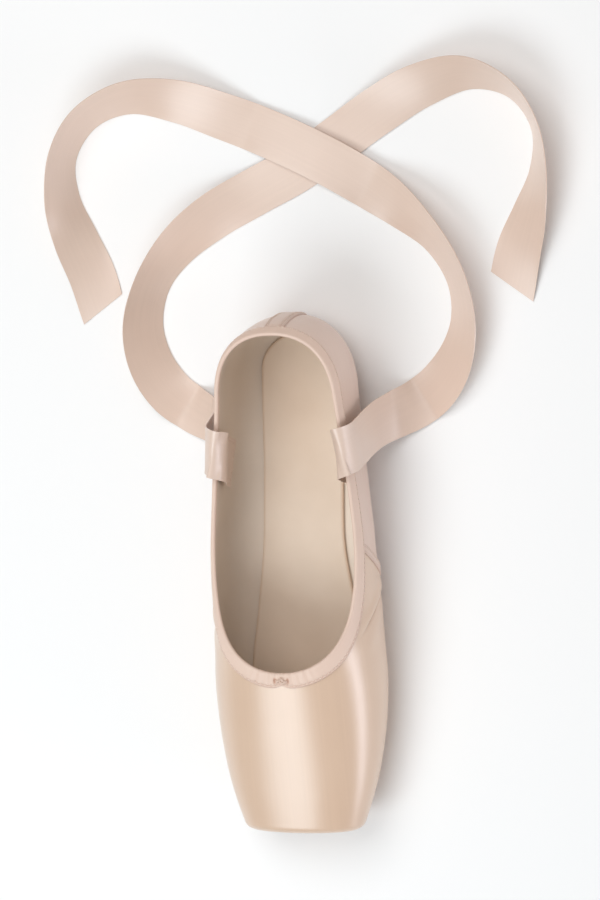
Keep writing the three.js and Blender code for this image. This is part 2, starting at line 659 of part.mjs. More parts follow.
// A flat ribbon along a route. Its width follows the collar where it hangs over it and lies level where
// it has landed, and the roll of the route is added on top. Its lower edge never sinks into the floor.
function ribbonGeometry(route) {
  const spans = route.length - 1;
  const curve = new THREE.CatmullRomCurve3(route.map(({ x, y, z }) => new THREE.Vector3(x, y, z)));
  const rollAt = smoothColumn(route.map(({ roll }, at) => ({ at, roll })), "roll");
  const collarSide = new THREE.Vector3(1, Math.sign(route[0].y) * COLLAR_FLARE, COLLAR_SLOPE);
  const rings = evenSteps(0, 1, RIBBON_STEPS).map((t) => {
    const tangent = curve.getTangent(t);
    const levelSide = new THREE.Vector3(tangent.y, -tangent.x, 0).multiplyScalar(Math.sign(route[0].y));
    const landed = smoothStep(LANDING_ROWS.from, LANDING_ROWS.to, t * spans);
    const side = collarSide.clone().lerp(levelSide.normalize(), landed);
    side.addScaledVector(tangent, -side.dot(tangent)).normalize();
    const across = side.applyAxisAngle(tangent, (rollAt(t * spans) * Math.PI) / 180);
    const over = tangent.clone().cross(across);
    const rest = (Math.abs(across.z) * RIBBON_WIDTH + Math.abs(over.z) * RIBBON_THICK) / 2 + FLOOR_CLEAR;
    const centre = curve.getPoint(t);
    centre.setZ(Math.max(centre.z, rest));
    const at = (width, lift) =>
      centre
        .clone()
        .addScaledVector(across, (width * RIBBON_WIDTH) / 2)
        .addScaledVector(over, (lift * RIBBON_THICK) / 2);
    return [at(-1, -1), at(0, -1), at(1, -1), at(1, 1), at(0, 1), at(-1, 1), at(-1, -1)];
  });
  const cap = ([a, b, c, d, e, f]) => [[a, b, e, f], [b, c, d, e]];
  const faces = [
    ...gridFaces(rings),
    ...cap(rings[0]),
    ...flipped(cap(rings.at(-1))),
  ];
  return solidFromFaces(faces);
}

// Colour and surface of each material.
const FINISHES = {
  satin: { color: 0xdec0aa, roughness: 0.34 },
  sole_suede: { color: 0xae9586, roughness: 0.92 },
  insole_cloth: { color: 0xdcc8b2, roughness: 0.85 },
  binding_satin: { color: 0xe2c6b5, roughness: 0.58 },
  seam_satin: { color: 0xe0c5b7, roughness: 0.45 },
  drawstring: { color: 0xe0c4b0, roughness: 0.7 },
  ribbon_satin: { color: 0xe0c7b6, roughness: 0.4 },
};

function piece(name, slot, geometry) {
  const material = new THREE.MeshStandardMaterial({ name: slot, metalness: 0, ...FINISHES[slot] });
  const mesh = new THREE.Mesh(geometry, material);
  mesh.name = name;
  return mesh;
}

const wingFaces = wingSeamFaces();

const shoe = new THREE.Group();
shoe.name = "pointe_shoe";
shoe.add(
  piece("upper", "satin", upperGeometry()),
  piece("outsole", "sole_suede", outsoleGeometry()),
  piece("insole", "insole_cloth", insoleGeometry()),
  piece("collar_binding", "binding_satin", bindingGeometry()),
  piece("wing_seam_left", "seam_satin", solidFromFaces(wingFaces)),
  piece("wing_seam_right", "seam_satin", solidFromFaces(mirrorFaces(wingFaces))),
  piece("back_strip", "seam_satin", backStripGeometry()),
  piece("drawstring_knot", "drawstring", knotGeometry()),
  piece("ribbon_tie_left", "ribbon_satin", ribbonGeometry(RIBBON_ROUTES.ribbon_tie_left)),
  piece("ribbon_tie_right", "ribbon_satin", ribbonGeometry(RIBBON_ROUTES.ribbon_tie_right)),
);

export default shoe;
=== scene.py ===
"""Pointe shoe: the finish of every piece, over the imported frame.

Lengths are in millimetres until a mesh is made. +X runs from heel to toe, +Z is up, the floor is z = 0.
The form of the last is the one that the solids have, so each piece lies where its solid lies.
"""
import math

import bpy
import numpy as np
from mathutils import Matrix, Vector


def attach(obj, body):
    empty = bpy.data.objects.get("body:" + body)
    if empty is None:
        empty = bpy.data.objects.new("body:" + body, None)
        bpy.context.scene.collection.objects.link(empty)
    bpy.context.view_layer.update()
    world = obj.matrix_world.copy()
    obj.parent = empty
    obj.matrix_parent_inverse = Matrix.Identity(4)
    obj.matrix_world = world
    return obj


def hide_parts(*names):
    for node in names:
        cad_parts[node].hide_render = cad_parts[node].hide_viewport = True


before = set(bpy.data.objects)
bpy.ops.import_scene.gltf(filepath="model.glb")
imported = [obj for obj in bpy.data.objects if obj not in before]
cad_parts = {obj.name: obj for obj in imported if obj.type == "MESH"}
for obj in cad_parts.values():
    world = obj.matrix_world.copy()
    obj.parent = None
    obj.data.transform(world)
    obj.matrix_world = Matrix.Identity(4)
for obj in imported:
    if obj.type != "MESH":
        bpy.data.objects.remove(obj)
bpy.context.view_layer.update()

MM = 0.001
WELD = 1e-3
MIRROR = np.array([1, -1, 1])
UV_PER_MM = 0.01

# Form of the last
LENGTH = 238.0
VAMP_LENGTH = 76.5
THROAT = LENGTH - VAMP_LENGTH
PLATFORM_ROUND = 3.0
HEEL_ROUND = 34.0
HEEL_SQUARENESS = 2.2
HEEL_REACH = 60.0
SEAT_GAP = 0.3
SEAM_THICK = 0.6
MIDDLE = (LENGTH - SEAT_GAP - SEAM_THICK) / 2
OUTSOLE_THICK = 2.6
QUARTER_WALL = 1.3
BOX_WALL = 2.8
BOX_BEGINS = 140.0
BOX_FULL = 190.0
ROUND_FROM = LENGTH - PLATFORM_ROUND
ROUND_TO = ROUND_FROM + PLATFORM_ROUND * math.pi / 2
PLATFORM_MIDDLE = ROUND_TO + 20.0
SECTION_POINTS = 800
FINE_STEP = 0.4
FINE_SHARE = 0.004
KNOT_SOFTNESS = 4.0
RIM_WALL = 0.8
RIM_REACH = 14.0

# Rows of the last: at, half width, widest level, top, crown exponent, keel exponent
SECTIONS = (
    (0, 29.0, 26.0, 98.0, 2.0, 3.4),
    (32, 30.0, 25.0, 96.0, 2.0, 3.4),
    (60, 32.4, 24.5, 91.0, 2.0, 3.3),
    (88, 35.2, 24.0, 84.0, 2.0, 3.2),
    (113, 37.4, 23.0, 75.0, 2.0, 3.2),
    (138, 38.3, 22.0, 64.5, 2.05, 3.3),
    (158, 39.4, 21.2, 57.6, 2.1, 3.4),
    (168, 40.0, 21.0, 55.0, 2.1, 3.4),
    (186, 39.2, 20.8, 50.6, 2.1, 3.2),
    (200, 37.6, 20.8, 47.2, 2.1, 2.9),
    (213, 35.2, 21.0, 44.0, 2.15, 2.7),
    (226, 31.6, 21.4, 40.8, 2.2, 2.5),
    (238, 27.4, 21.8, 37.8, 2.2, 2.4),
)
# Underside of the outsole: at, lift over the floor
UNDERSIDE = ((0, 0.8), (14, 0), (66, 0), (106, 3.4), (146, 0), (190, 0), (214, 2.0), (238, 4.4))
# Back of the heel: height, distance in front of the rearmost point
HEEL_BACK = ((2, 3.2), (8, 1.3), (16, 0.2), (25, 0), (38, 1.2), (50, 4.0), (62, 8.0))
# Collar from the side: at, height
COLLAR = (
    (0, 58.5), (20, 55.2), (40, 51.6), (60, 48.4), (80, 46.0), (100, 44.8),
    (118, 45.2), (134, 47.2), (146, 50.6), (155, 53.9), (161.5, 56.7),
)
# Outlines under the foot: at, half width before the ends are rounded
OUTSOLE_OUTLINE = (
    (0, 17.5), (30, 19.0), (70, 15.5), (104, 13.5), (140, 20.5), (168, 25.5), (190, 25.0), (215, 21.0),
)
INSOLE_OUTLINE = ((0, 16.5), (30, 19.5), (100, 19.5), (140, 24.5), (168, 28.0), (208, 24.0))
# Spans under the foot: from, to, rounding at the heel, rounding at the tip
OUTSOLE_SPAN = (1.0, 215.0, 19.0, 26.0)
INSOLE_SPAN = (7.0, 208.0, 17.0, 28.0)
OPENING_SPAN = (9.0, 206.0, 16.0, 26.0)
LASTING_MARGIN = 7.0


def smooth_column(rows, index=1, softness=KNOT_SOFTNESS):
    """A curve through one column of a table that never overshoots its rows, with its knots softened."""
    x = np.array([row[0] for row in rows], float)
    y = np.array([row[index] for row in rows], float)
    chord = np.diff(y) / np.diff(x)
    before, after = chord[:-1], chord[1:]
    same = before * after > 0
    inner = np.where(same, 2 * before * after / np.where(same, before + after, 1), 0)
    slope = np.concatenate([chord[:1], inner, chord[-1:]])
    fine = np.linspace(x[0], x[-1], int((x[-1] - x[0]) * 2) + 1)
    k = np.clip(np.searchsorted(x, fine, side="right") - 1, 0, len(x) - 2)
    span = x[k + 1] - x[k]
    p = (fine - x[k]) / span
    values = y[k] * (1 + 2 * p) * (1 - p) ** 2 + y[k + 1] * p * p * (3 - 2 * p)
    values += span * (slope[k] * p * (1 - p) ** 2 - slope[k + 1] * p * p * (1 - p))
    reach = int(softness * 6)
    weight = np.exp(-0.5 * (np.arange(-reach, reach + 1) / (2 * softness)) ** 2)
    head = 2 * values[0] - values[reach:0:-1]
    tail = 2 * values[-1] - values[-2:-reach - 2:-1]
    values = np.convolve(np.concatenate([head, values, tail]), weight / weight.sum(), "valid")
    return lambda at: np.interp(at, fine, values)


last_half, last_widest, last_top, last_crown, last_keel = (smooth_column(SECTIONS, k) for k in range(1, 6))
underside = smooth_column(UNDERSIDE, softness=2.0)
heel_back = smooth_column(HEEL_BACK, softness=1.5)
collar_height = smooth_column(COLLAR, softness=2.0)
outsole_outline = smooth_column(OUTSOLE_OUTLINE)
insole_outline = smooth_column(INSOLE_OUTLINE)


def smooth_step(low, high, at):
    t = np.clip((np.asarray(at, float) - low) / (high - low), 0, 1)
    return t * t * (3 - 2 * t)


def bump(at, centre, width):
    """A soft hump of height 1."""
    return np.exp(-(((at - centre) / width) ** 2))


def unit(v):
    return v / np.maximum(np.linalg.norm(v, axis=-1, keepdims=True), 1e-12)


def run_of(line):
    """Distance along a line at each of its points."""
    return np.concatenate([[0], np.cumsum(np.linalg.norm(np.diff(line, axis=0), axis=1))])


def on_line(line, run, at):
    """Points or directions of a line at the distances asked for."""
    return np.stack([np.interp(at, run, line[:, k]) for k in range(3)], axis=-1)


def last_bottom(at):
    return underside(at) + OUTSOLE_THICK + SEAT_GAP


def wall_at(at):
    return QUARTER_WALL + (BOX_WALL - QUARTER_WALL) * smooth_step(BOX_BEGINS, BOX_FULL, at)


def skived(wall, distance):
    """The wall thinned towards the collar edge, where the binding folds over it."""
    return RIM_WALL + (wall - RIM_WALL) * smooth_step(0, RIM_REACH, distance)


def rounded_half(outline, span, at):
    """An outline with both ends rounded, zero outside its span."""
    low, high, heel_round, tip_round = span
    heel = np.clip((at - low) / heel_round, 0, 1)
    tip = np.clip((high - at) / tip_round, 0, 1)
    return outline(at) * np.sqrt(1 - (1 - heel) ** 2) * np.sqrt(1 - (1 - tip) ** 2)


def opening_half(at):
    return np.maximum(rounded_half(lambda s: outsole_outline(s) - LASTING_MARGIN, OPENING_SPAN, at), 0)


def platform_edge(along):
    """Place along the shoe, inset and shrinking of a section, also over the round of the platform."""
    turn = np.clip((along - ROUND_FROM) / PLATFORM_ROUND, 0, math.pi / 2)
    at = np.minimum(along, ROUND_FROM) + PLATFORM_ROUND * np.sin(turn)
    inset = PLATFORM_ROUND * (1 - np.cos(turn))
    shrink = 1 - np.clip((along - ROUND_TO) / (PLATFORM_MIDDLE - ROUND_TO), 0, 1)
    return at, inset, shrink


def sections(along):
    """Half sections: at, y, z and the share of the girth at each section point, and the girth."""
    at, inset, shrink = platform_edge(np.atleast_1d(np.asarray(along, float)))
    closing = (1 - np.clip(1 - at / HEEL_ROUND, 0, 1) ** HEEL_SQUARENESS) ** (1 / HEEL_SQUARENESS)
    half = (last_half(at) * closing - inset) * shrink
    widest = last_widest(at)
    rise = (last_top(at) - inset - widest) * shrink
    drop = (widest - last_bottom(at) - inset) * shrink
    angle = np.linspace(-math.pi / 2, math.pi / 2, SECTION_POINTS + 1)
    below = angle < 0
    power = np.where(below, (2 / last_keel(at))[:, None], (2 / last_crown(at))[:, None])
    y = half[:, None] * np.maximum(np.cos(angle), 0) ** power
    y[:, 0] = y[:, -1] = 0
    reach = np.where(below, -drop[:, None], rise[:, None])
    z = widest[:, None] + reach * np.abs(np.sin(angle)) ** power
    step = np.hypot(np.diff(y, axis=1), np.diff(z, axis=1))
    run = np.concatenate([np.zeros((len(at), 1)), np.cumsum(step, axis=1)], axis=1)
    girth = np.maximum(run[:, -1], 1e-9)
    return at, y, z, run / girth[:, None], girth


def last_points(along, share):
    """Points on the outside of the upper, on the side with y at least 0."""
    along, share = np.broadcast_arrays(np.asarray(along, float), np.asarray(share, float))
    unique, row = np.unique(along.ravel(), return_inverse=True)
    at, y, z, part, _ = sections(unique)
    width = SECTION_POINTS + 1
    keys = (part + 2 * np.arange(len(unique))[:, None]).ravel()
    goal = np.clip(share.ravel(), 0, 1) + 2 * row
    i = np.clip(np.searchsorted(keys, goal), row * width + 1, row * width + width - 1)
    t = (goal - keys[i - 1]) / np.maximum(keys[i] - keys[i - 1], 1e-12)
    py, pz = (v.ravel()[i - 1] + t * (v.ravel()[i] - v.ravel()[i - 1]) for v in (y, z))
    fade = np.clip(1 - at[row] / HEEL_REACH, 0, 1) ** 2
    px = at[row] + heel_back(pz) * fade - MIDDLE
    return np.stack([px, py, pz], axis=-1).reshape(along.shape + (3,))


def slopes(along, share):
    ahead, behind = along + FINE_STEP, np.maximum(along - FINE_STEP, 0)
    above, below = np.minimum(share + FINE_SHARE, 1), np.maximum(share - FINE_SHARE, 0)
    by_length = (last_points(ahead, share) - last_points(behind, share)) / (ahead - behind)[..., None]
    by_share = (last_points(along, above) - last_points(along, below)) / (above - below)[..., None]
    return by_length, by_share


def last_normals(along, share):
    along, share = np.broadcast_arrays(np.asarray(along, float), np.asarray(share, float))
    by_length, by_share = slopes(along, share)
    normal = unit(np.cross(by_share, by_length))
    centre = (along < FINE_STEP / 2) | (share <= 0) | (share >= 1)
    normal[..., 1] = np.where(centre, 0, normal[..., 1])
    normal[along >= ROUND_TO] = (1, 0, 0)
    return unit(normal)


def surface(along, share):
    return last_points(along, share), last_normals(along, share)


def layer(along, share, offset):
    points, normals = surface(along, share)
    return points + normals * np.asarray(offset)[..., None]


def girth_at(along):
    return sections(along)[4]


def share_at_height(along, height):
    """The share at which each section reaches a height; the sections rise all the way from their bottom."""
    _, _, z, part, _ = sections(along)
    rows = zip(np.broadcast_to(height, len(z)), z, part)
    return np.array([np.interp(h, row, p) for h, row, p in rows])


def share_at_half(along, half):
    """The share at which each section reaches a half width below its widest level."""
    _, y, _, part, _ = sections(along)
    low = slice(SECTION_POINTS // 2 + 1)
    rows = zip(np.broadcast_to(half, len(y)), y[:, low], part[:, low])
    return np.array([np.interp(h, row, p) for h, row, p in rows])


def collar_share(along):
    return np.where(np.greater_equal(along, THROAT), 1.0, share_at_height(along, collar_height(along)))


def opening_share(along):
    half = opening_half(along)
    return np.where(half > 0, share_at_half(along, half), 0)


# Meshes from arrays of four-cornered faces
def grid_quads(grid):
    """The faces of a grid of points, or the numbers at their corners."""
    corners = [grid[:-1, :-1], grid[1:, :-1], grid[1:, 1:], grid[:-1, 1:]]
    return np.stack(corners, axis=2).reshape((-1, 4) + grid.shape[2:])


def flipped(quads):
    return quads[:, [0, 3, 2, 1]]


def mirrored(quads):
    return flipped(quads) * MIRROR


def add_object(name, data):
    thing = bpy.data.objects.new(name, data)
    bpy.context.scene.collection.objects.link(thing)
    return thing


def make_piece(name, node, quads, materials, values=None, material_ids=None, crease_deg=180.0):
    """A piece from faces in millimetres, with equal corners welded.

    node is the solid that it replaces, if any. values are the numbers that its materials read at the corners.
    """
    corners = quads.reshape(-1, 3)
    keys = np.round(corners / WELD).astype(np.int64)
    _, first, ids = np.unique(keys, axis=0, return_index=True, return_inverse=True)
    ids = ids.reshape(-1, 4)
    a, b, c, d = ids.T
    repeats = (a == b).astype(int) + (b == c) + (c == d) + (d == a)
    kept = np.nonzero((a != c) & (b != d) & (repeats < 2))[0]
    faces = [tuple(dict.fromkeys(face)) for face in ids[kept].tolist()]
    points = corners[first]
    w, x, y, z = (points[column] for column in ids[kept].T)
    if np.sum(w * (np.cross(x, y) + np.cross(y, z))) < 0:
        faces = [face[::-1] for face in faces]
    mesh = bpy.data.meshes.new(name)
    mesh.from_pydata((points * MM).tolist(), [], faces)
    mesh.polygons.foreach_set("use_smooth", np.ones(len(faces), bool))
    for material in materials:
        mesh.materials.append(material)
    if material_ids is not None:
        mesh.polygons.foreach_set("material_index", np.asarray(material_ids, np.int32)[kept])
    if values:
        numbers = {label: np.asarray(number, float).ravel()[first] for label, number in values.items()}
        for label, number in numbers.items():
            mesh.attributes.new(label, "FLOAT", "POINT").data.foreach_set("value", number.astype(np.float32))
        loops = np.empty(len(mesh.loops), np.int32)
        mesh.loops.foreach_get("vertex_index", loops)
        weave = np.stack([numbers["along_mm"], numbers["girth_mm"]], axis=1)[loops] * UV_PER_MM
        mesh.uv_layers.new(name="weave").data.foreach_set("uv", weave.astype(np.float32).ravel())
    mesh.update()
    if crease_deg < 180:
        mesh.set_sharp_from_angle(angle=math.radians(crease_deg))
    piece = add_object(name, mesh)
    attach(piece, "root")
    if node:
        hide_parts(node)
    return piece


# Materials
def srgb(red, green, blue):
    """A colour given as 0 to 255, as the shader's linear numbers."""
    values = np.array([red, green, blue]) / 255
    linear = np.where(values <= 0.04045, values / 12.92, ((values + 0.055) / 1.055) ** 2.4)
    return (*linear, 1.0)


def darker(colour, share):
    return (*(share * c for c in colour[:3]), 1.0)


class Shader:
    """A node material with one principled surface, whose plain sockets are set by name."""

    def __init__(self, name, **sockets):
        self.material = bpy.data.materials.new(name)
        self.material.use_nodes = True
        self.nodes = self.material.node_tree.nodes
        self.links = self.material.node_tree.links
        self.surface = self.nodes["Principled BSDF"].inputs
        for socket, value in sockets.items():
            self.surface[socket.replace("_", " ")].default_value = value

    def feed(self, socket, value):
        if isinstance(value, bpy.types.NodeSocket):
            self.links.new(value, socket)
        else:
            socket.default_value = value

    def node(self, kind, inputs=(), **settings):
        node = self.nodes.new("ShaderNode" + kind)
        for key, value in settings.items():
            setattr(node, key, value)
        for socket, value in dict(inputs).items():
            self.feed(node.inputs[socket], value)
        return node

    def math(self, operation, first, second=0.0):
        return self.node("Math", {0: first, 1: second}, operation=operation).outputs[0]

    def place(self, *scale):
        """Millimetres along X, Y and Z, stretched by one scale or by three."""
        coordinates = self.node("TexCoord").outputs["Object"]
        sizes = tuple(s / MM for s in (scale if len(scale) == 3 else scale * 3))
        return self.node("Mapping", {"Vector": coordinates, "Scale": sizes}).outputs[0]

    def attribute(self, label):
        return self.node("Attribute", attribute_name=label).outputs["Fac"]

    def noise(self, place, detail, roughness=0.5):
        inputs = {"Vector": place, "Scale": 1.0, "Detail": detail, "Roughness": roughness}
        return self.node("TexNoise", inputs).outputs["Fac"]

    def mix(self, factor, first, second, blend="MIX"):
        inputs = {0: factor, 6: first, 7: second}
        return self.node("Mix", inputs, data_type="RGBA", blend_type=blend).outputs[2]

    def span(self, value, low, high, to_low=0.0, to_high=1.0):
        inputs = {"Value": value, "From Min": low, "From Max": high, "To Min": to_low, "To Max": to_high}
        return self.node("MapRange", inputs).outputs[0]

    def threads(self, value, pitch):
        """Rounded threads side by side across a length in millimetres."""
        return self.math("SINE", self.math("MULTIPLY", value, 2 * math.pi / pitch))

    def soiled_and_shaded(self, tone, deep):
        # Darkens the base colour by an attribute that holds both real wear and painted shade.
        self.feed(self.surface["Base Color"], self.mix(self.attribute("soil_and_shade"), tone, deep, "MULTIPLY"))

    def relief(self, height, depth_mm):
        node = self.node("Bump", {"Height": height, "Distance": depth_mm * MM, "Strength": 1.0})
        self.links.new(node.outputs[0], self.surface["Normal"])


def satin(name, base, deep, roughness, shine, coat, pitch=0.32):
    """Satin cloth: long floats along the shoe, faint slubs, and painted shade where folds, pleats and
    stitches sink in.
    """
    shader = Shader(
        name,
        Roughness=roughness,
        Anisotropic=shine,
        Sheen_Weight=0.12,
        Sheen_Roughness=0.45,
        Coat_Weight=coat,
        Coat_Roughness=0.3,
        Specular_IOR_Level=0.95,
    )
    tangent = shader.node("Tangent", direction_type="UV_MAP", uv_map="weave")
    shader.links.new(tangent.outputs[0], shader.surface["Tangent"])
    along, girth = shader.attribute("along_mm"), shader.attribute("girth_mm")
    lie = {"X": shader.math("MULTIPLY", along, 0.015), "Y": shader.math("MULTIPLY", girth, 0.8)}
    streaks = shader.noise(shader.node("CombineXYZ", lie).outputs[0], 3.0)
    cloud = shader.noise(shader.place(0.03), 2.0)
    tone = shader.mix(shader.span(streaks, 0.3, 0.7), base, darker(base, 0.97))
    shader.soiled_and_shaded(shader.mix(shader.span(cloud, 0.35, 0.75, 0, 0.2), tone, deep), deep)
    floats = shader.math("MULTIPLY", shader.threads(along, pitch * 5), 0.3)
    weave = shader.math("ADD", shader.threads(girth, pitch), floats)
    shader.relief(shader.math("ADD", shader.math("MULTIPLY", weave, 0.25), streaks), 0.012)
    return shader.material


def cloth(name, base, deep, pitch=0.5, depth=0.04):
    """Plain woven cotton."""
    shader = Shader(name, Roughness=0.85, Sheen_Weight=0.25, Sheen_Roughness=0.6)
    cloud = shader.noise(shader.place(0.05), 3.0)
    tone = shader.mix(shader.span(cloud, 0.3, 0.75, 0, 0.4), base, deep)
    warp, weft = (shader.threads(shader.attribute(label), pitch) for label in ("along_mm", "girth_mm"))
    weave = shader.math("MULTIPLY", warp, weft)
    shader.soiled_and_shaded(shader.mix(shader.span(weave, -1, 1, 0, 0.25), tone, deep), deep)
    shader.relief(weave, depth)
    return shader.material


def plain_thread(name, base):
    shader = Shader(name, Roughness=0.6, Sheen_Weight=0.2)
    fuzz = shader.noise(shader.place(2), 2.0)
    tone = shader.mix(shader.span(fuzz, 0.3, 0.7), base, darker(base, 0.86))
    shader.feed(shader.surface["Base Color"], tone)
    shader.relief(fuzz, 0.06)
    return shader.material


SCORE_PITCH = 6.4


def suede(name, base, deep, pale):
    """Brushed leather, scored crosswise under the forefoot, worn darker at the tip, with painted shade in its
    stitch channel and darker along the rim.
    """
    shader = Shader(name, Roughness=0.92, Sheen_Weight=0.35, Sheen_Roughness=0.55, Specular_IOR_Level=0.25)
    along, across = shader.attribute("along_mm"), shader.attribute("girth_mm")
    nap = shader.noise(shader.place(1.6), 5.0, 0.65)
    blotch = shader.noise(shader.place(0.07), 4.0)
    tone = shader.mix(shader.span(blotch, 0.32, 0.7), base, deep)
    tone = shader.mix(shader.span(nap, 0.35, 0.7, 0, 0.5), tone, pale)
    slants = (shader.math(way, along, across) for way in ("ADD", "SUBTRACT"))
    waves = [shader.math("ABSOLUTE", shader.threads(slant, SCORE_PITCH)) for slant in slants]
    lines = [shader.math("POWER", wave, 30) for wave in waves]
    score = shader.math("MULTIPLY", shader.math("MAXIMUM", *lines), shader.attribute("score"))
    shader.soiled_and_shaded(shader.mix(shader.math("MULTIPLY", score, 0.45), tone, deep), deep)
    shader.relief(shader.math("SUBTRACT", nap, shader.math("MULTIPLY", score, 2.5)), 0.16)
    return shader.material


def cut_edge(name, base, deep):
    shader = Shader(name, Roughness=0.7)
    fibre = shader.noise(shader.place(1.4, 1.4, 2.4), 4.0)
    # Darker towards its top, painted shade in the gap under the upper, and towards its foot.
    shader.soiled_and_shaded(shader.mix(shader.span(fibre, 0.3, 0.7), base, deep), deep)
    shader.relief(fibre, 0.08)
    return shader.material


VAMP_SATIN = satin("vamp_satin", srgb(219, 188, 162), srgb(204, 168, 140), 0.34, 0.5, 0.62)
QUARTER_SATIN = satin("quarter_satin", srgb(222, 195, 179), srgb(204, 173, 156), 0.42, 0.4, 0.2)
BINDING_SATIN = satin("binding_satin", srgb(229, 201, 183), srgb(206, 170, 152), 0.58, 0.2, 0.0)
RIBBON_SATIN = satin("ribbon_satin", srgb(227, 202, 185), srgb(206, 174, 156), 0.38, 0.4, 0.25)
LINING_CLOTH = cloth("lining_cloth", srgb(236, 221, 205), srgb(222, 204, 186))
SOCK_CLOTH = cloth("sock_cloth", srgb(234, 215, 196), srgb(218, 196, 174), 0.62, 0.05)
SEW_THREAD = plain_thread("sewing_thread", srgb(238, 216, 200))
SOLE_THREAD = plain_thread("sole_thread", srgb(222, 204, 184))
CORD_THREAD = plain_thread("cord_thread", srgb(226, 198, 180))
SOLE_SUEDE = suede("sole_suede", srgb(176, 150, 134), srgb(140, 112, 96), srgb(196, 172, 156))
SOLE_EDGE = cut_edge("sole_edge", srgb(212, 180, 152), srgb(188, 152, 122))


# Upper
SATIN_ROWS = 136
LINING_ROWS = 30
PANEL_STEP = 0.3
WING_COLLAR_AT = 106.0
WING_SOLE_AT = 131.0
WING_HALF = 2.4
BINDING_OUTSIDE = 6.8
BINDING_INSIDE = 5.0
SEAM_TO_SOLE = 2.6
SEAM_TO_BINDING = 1.3
# Columns of the upper: from, to, count, end at which they close up
UPPER_COLUMNS = (
    (0, 40, 32, "low"),
    (40, 116, 36),
    (116, 145, 50),
    (145, THROAT, 24, "high"),
    (THROAT, 196, 30, "low"),
    (196, ROUND_FROM, 70),
    (ROUND_FROM, ROUND_TO, 8),
    (ROUND_TO, PLATFORM_MIDDLE, 10),
)
# Wing seam: girth at the collar, share of the girth at its low and high end, slant
WING_GIRTH = float(girth_at(WING_COLLAR_AT)[0])
WING_LOW = float(share_at_half(WING_SOLE_AT, outsole_outline(WING_SOLE_AT) + SEAM_TO_SOLE)[0])
WING_HIGH = float(collar_share(WING_COLLAR_AT)[0] - (BINDING_OUTSIDE + SEAM_TO_BINDING) / WING_GIRTH)
WING_SLANT = math.atan2(WING_SOLE_AT - WING_COLLAR_AT, (WING_HIGH - WING_LOW) * WING_GIRTH)
# Toe pleats: a fan whose middle lies behind the tip of the outsole
PLEAT_CENTRE = 197.0
PLEAT_BEGINS = 186.0
PLEAT_FULL = 204.0
PLEAT_TURN_DEG = 9.2
PLEAT_DEPTH = 1.0
PLEAT_REACH_DEG = 74.0
PLEAT_FADE_DEG = 26.0
PLEAT_TOP = 17.0
PLEAT_RISE = 10.0
# Middle of the sewn end of each ribbon: at, height
SEWN_AT = (66.0, 31.0)
# Crease across the wing: low end, high end, depth
CREASE_FROM = (127.0, 11.0)
CREASE_TO = (147.0, 43.0)
CREASE_DEPTH = 1.0


def eased(low, high, count, close=""):
    """Steps from low to high that close up at the low end, the high end or both."""
    t = np.linspace(0, 1, count + 1)
    if close == "both":
        t = (1 - np.cos(math.pi * t)) / 2
    elif close == "high":
        t = np.sin(math.pi * t / 2)
    elif close == "low":
        t = 1 - np.cos(math.pi * t / 2)
    return low + (high - low) * t


def wing_line(share):
    """Where the wing seam crosses a section, as a place along the shoe."""
    rise = np.clip((share - WING_LOW) / (WING_HIGH - WING_LOW), -0.3, 1.3)
    return WING_SOLE_AT + (WING_COLLAR_AT - WING_SOLE_AT) * rise


def pleat_relief(at, y, z):
    """Depth of the toe pleats and the painted shade in their valleys."""
    turn = np.degrees(np.arctan2(y, at - PLEAT_CENTRE))
    reach_out = np.hypot(y, at - PLEAT_CENTRE)
    uneven = turn + 1.9 * np.sin(turn / 9.0 + 0.6) + 1.1 * np.sin(turn / 4.3) + 0.5 * np.sin(reach_out / 5.0)
    fold = np.abs(np.sin(np.pi * uneven / PLEAT_TURN_DEG))
    reach = 1 - smooth_step(PLEAT_REACH_DEG - PLEAT_FADE_DEG, PLEAT_REACH_DEG, np.abs(turn))
    top = PLEAT_TOP + 2.5 * np.sin(turn / 5.0)
    height = 1 - smooth_step(top - PLEAT_RISE, top, z)
    length = 1 - smooth_step(ROUND_FROM - 9, ROUND_FROM + 6, at + 3 * np.sin(turn / 6.0 + 1))
    mask = reach * height * length * smooth_step(PLEAT_BEGINS, PLEAT_FULL, at)
    return PLEAT_DEPTH * mask * (np.minimum(1.25 * fold, 1) - 0.7), bump(fold, 0, 0.4) * mask


def crease_relief(at, z):
    """A sharp fold from the low end of the wing seam towards the throat, with the wing swelling behind it,
    and painted shade along its trough.
    """
    t = (z - CREASE_FROM[1]) / (CREASE_TO[1] - CREASE_FROM[1])
    line = CREASE_FROM[0] + (CREASE_TO[0] - CREASE_FROM[0]) * np.clip(t, 0, 1.1) ** 1.45
    across = at - line
    mask = smooth_step(-0.1, 0.4, t) * (1 - smooth_step(0.66, 1.04, t))
    trough = bump(across, 0, 0.8 + 0.5 * np.clip(t, 0, 1)) + 0.5 * bump(across, 1.2, 3.4)
    swelling = np.where(across < 0, bump(across, -3.4, 3.2), bump(across, -3.4, 2.2))
    beyond = 0.35 * bump(across, 8.5, 5.0)
    return CREASE_DEPTH * mask * (swelling + beyond - 0.75 * trough), bump(across, 0.1, 0.8) * mask


def cloth_waves(x, y, z):
    """Slow unevenness of satin pasted on by hand."""
    slow = np.sin(x / 15.0 + 0.9 + y / 40) * np.sin(z / 8.5 + 0.4 + x / 60) * np.sin(y / 23 + 0.7)
    quick = np.sin(x / 6.1 + z / 9.0) * np.sin(z / 5.3 - x / 17.0 + 1.1)
    return 0.16 * slow + 0.03 * quick


def sewn_puckers(at, z):
    """Faint ridges on the quarter over the sewn end of the ribbon."""
    return 0.12 * np.sin(2 * np.pi * z / 4.2) * bump(at, SEWN_AT[0], 8.0) * bump(z, SEWN_AT[1], 7.0)


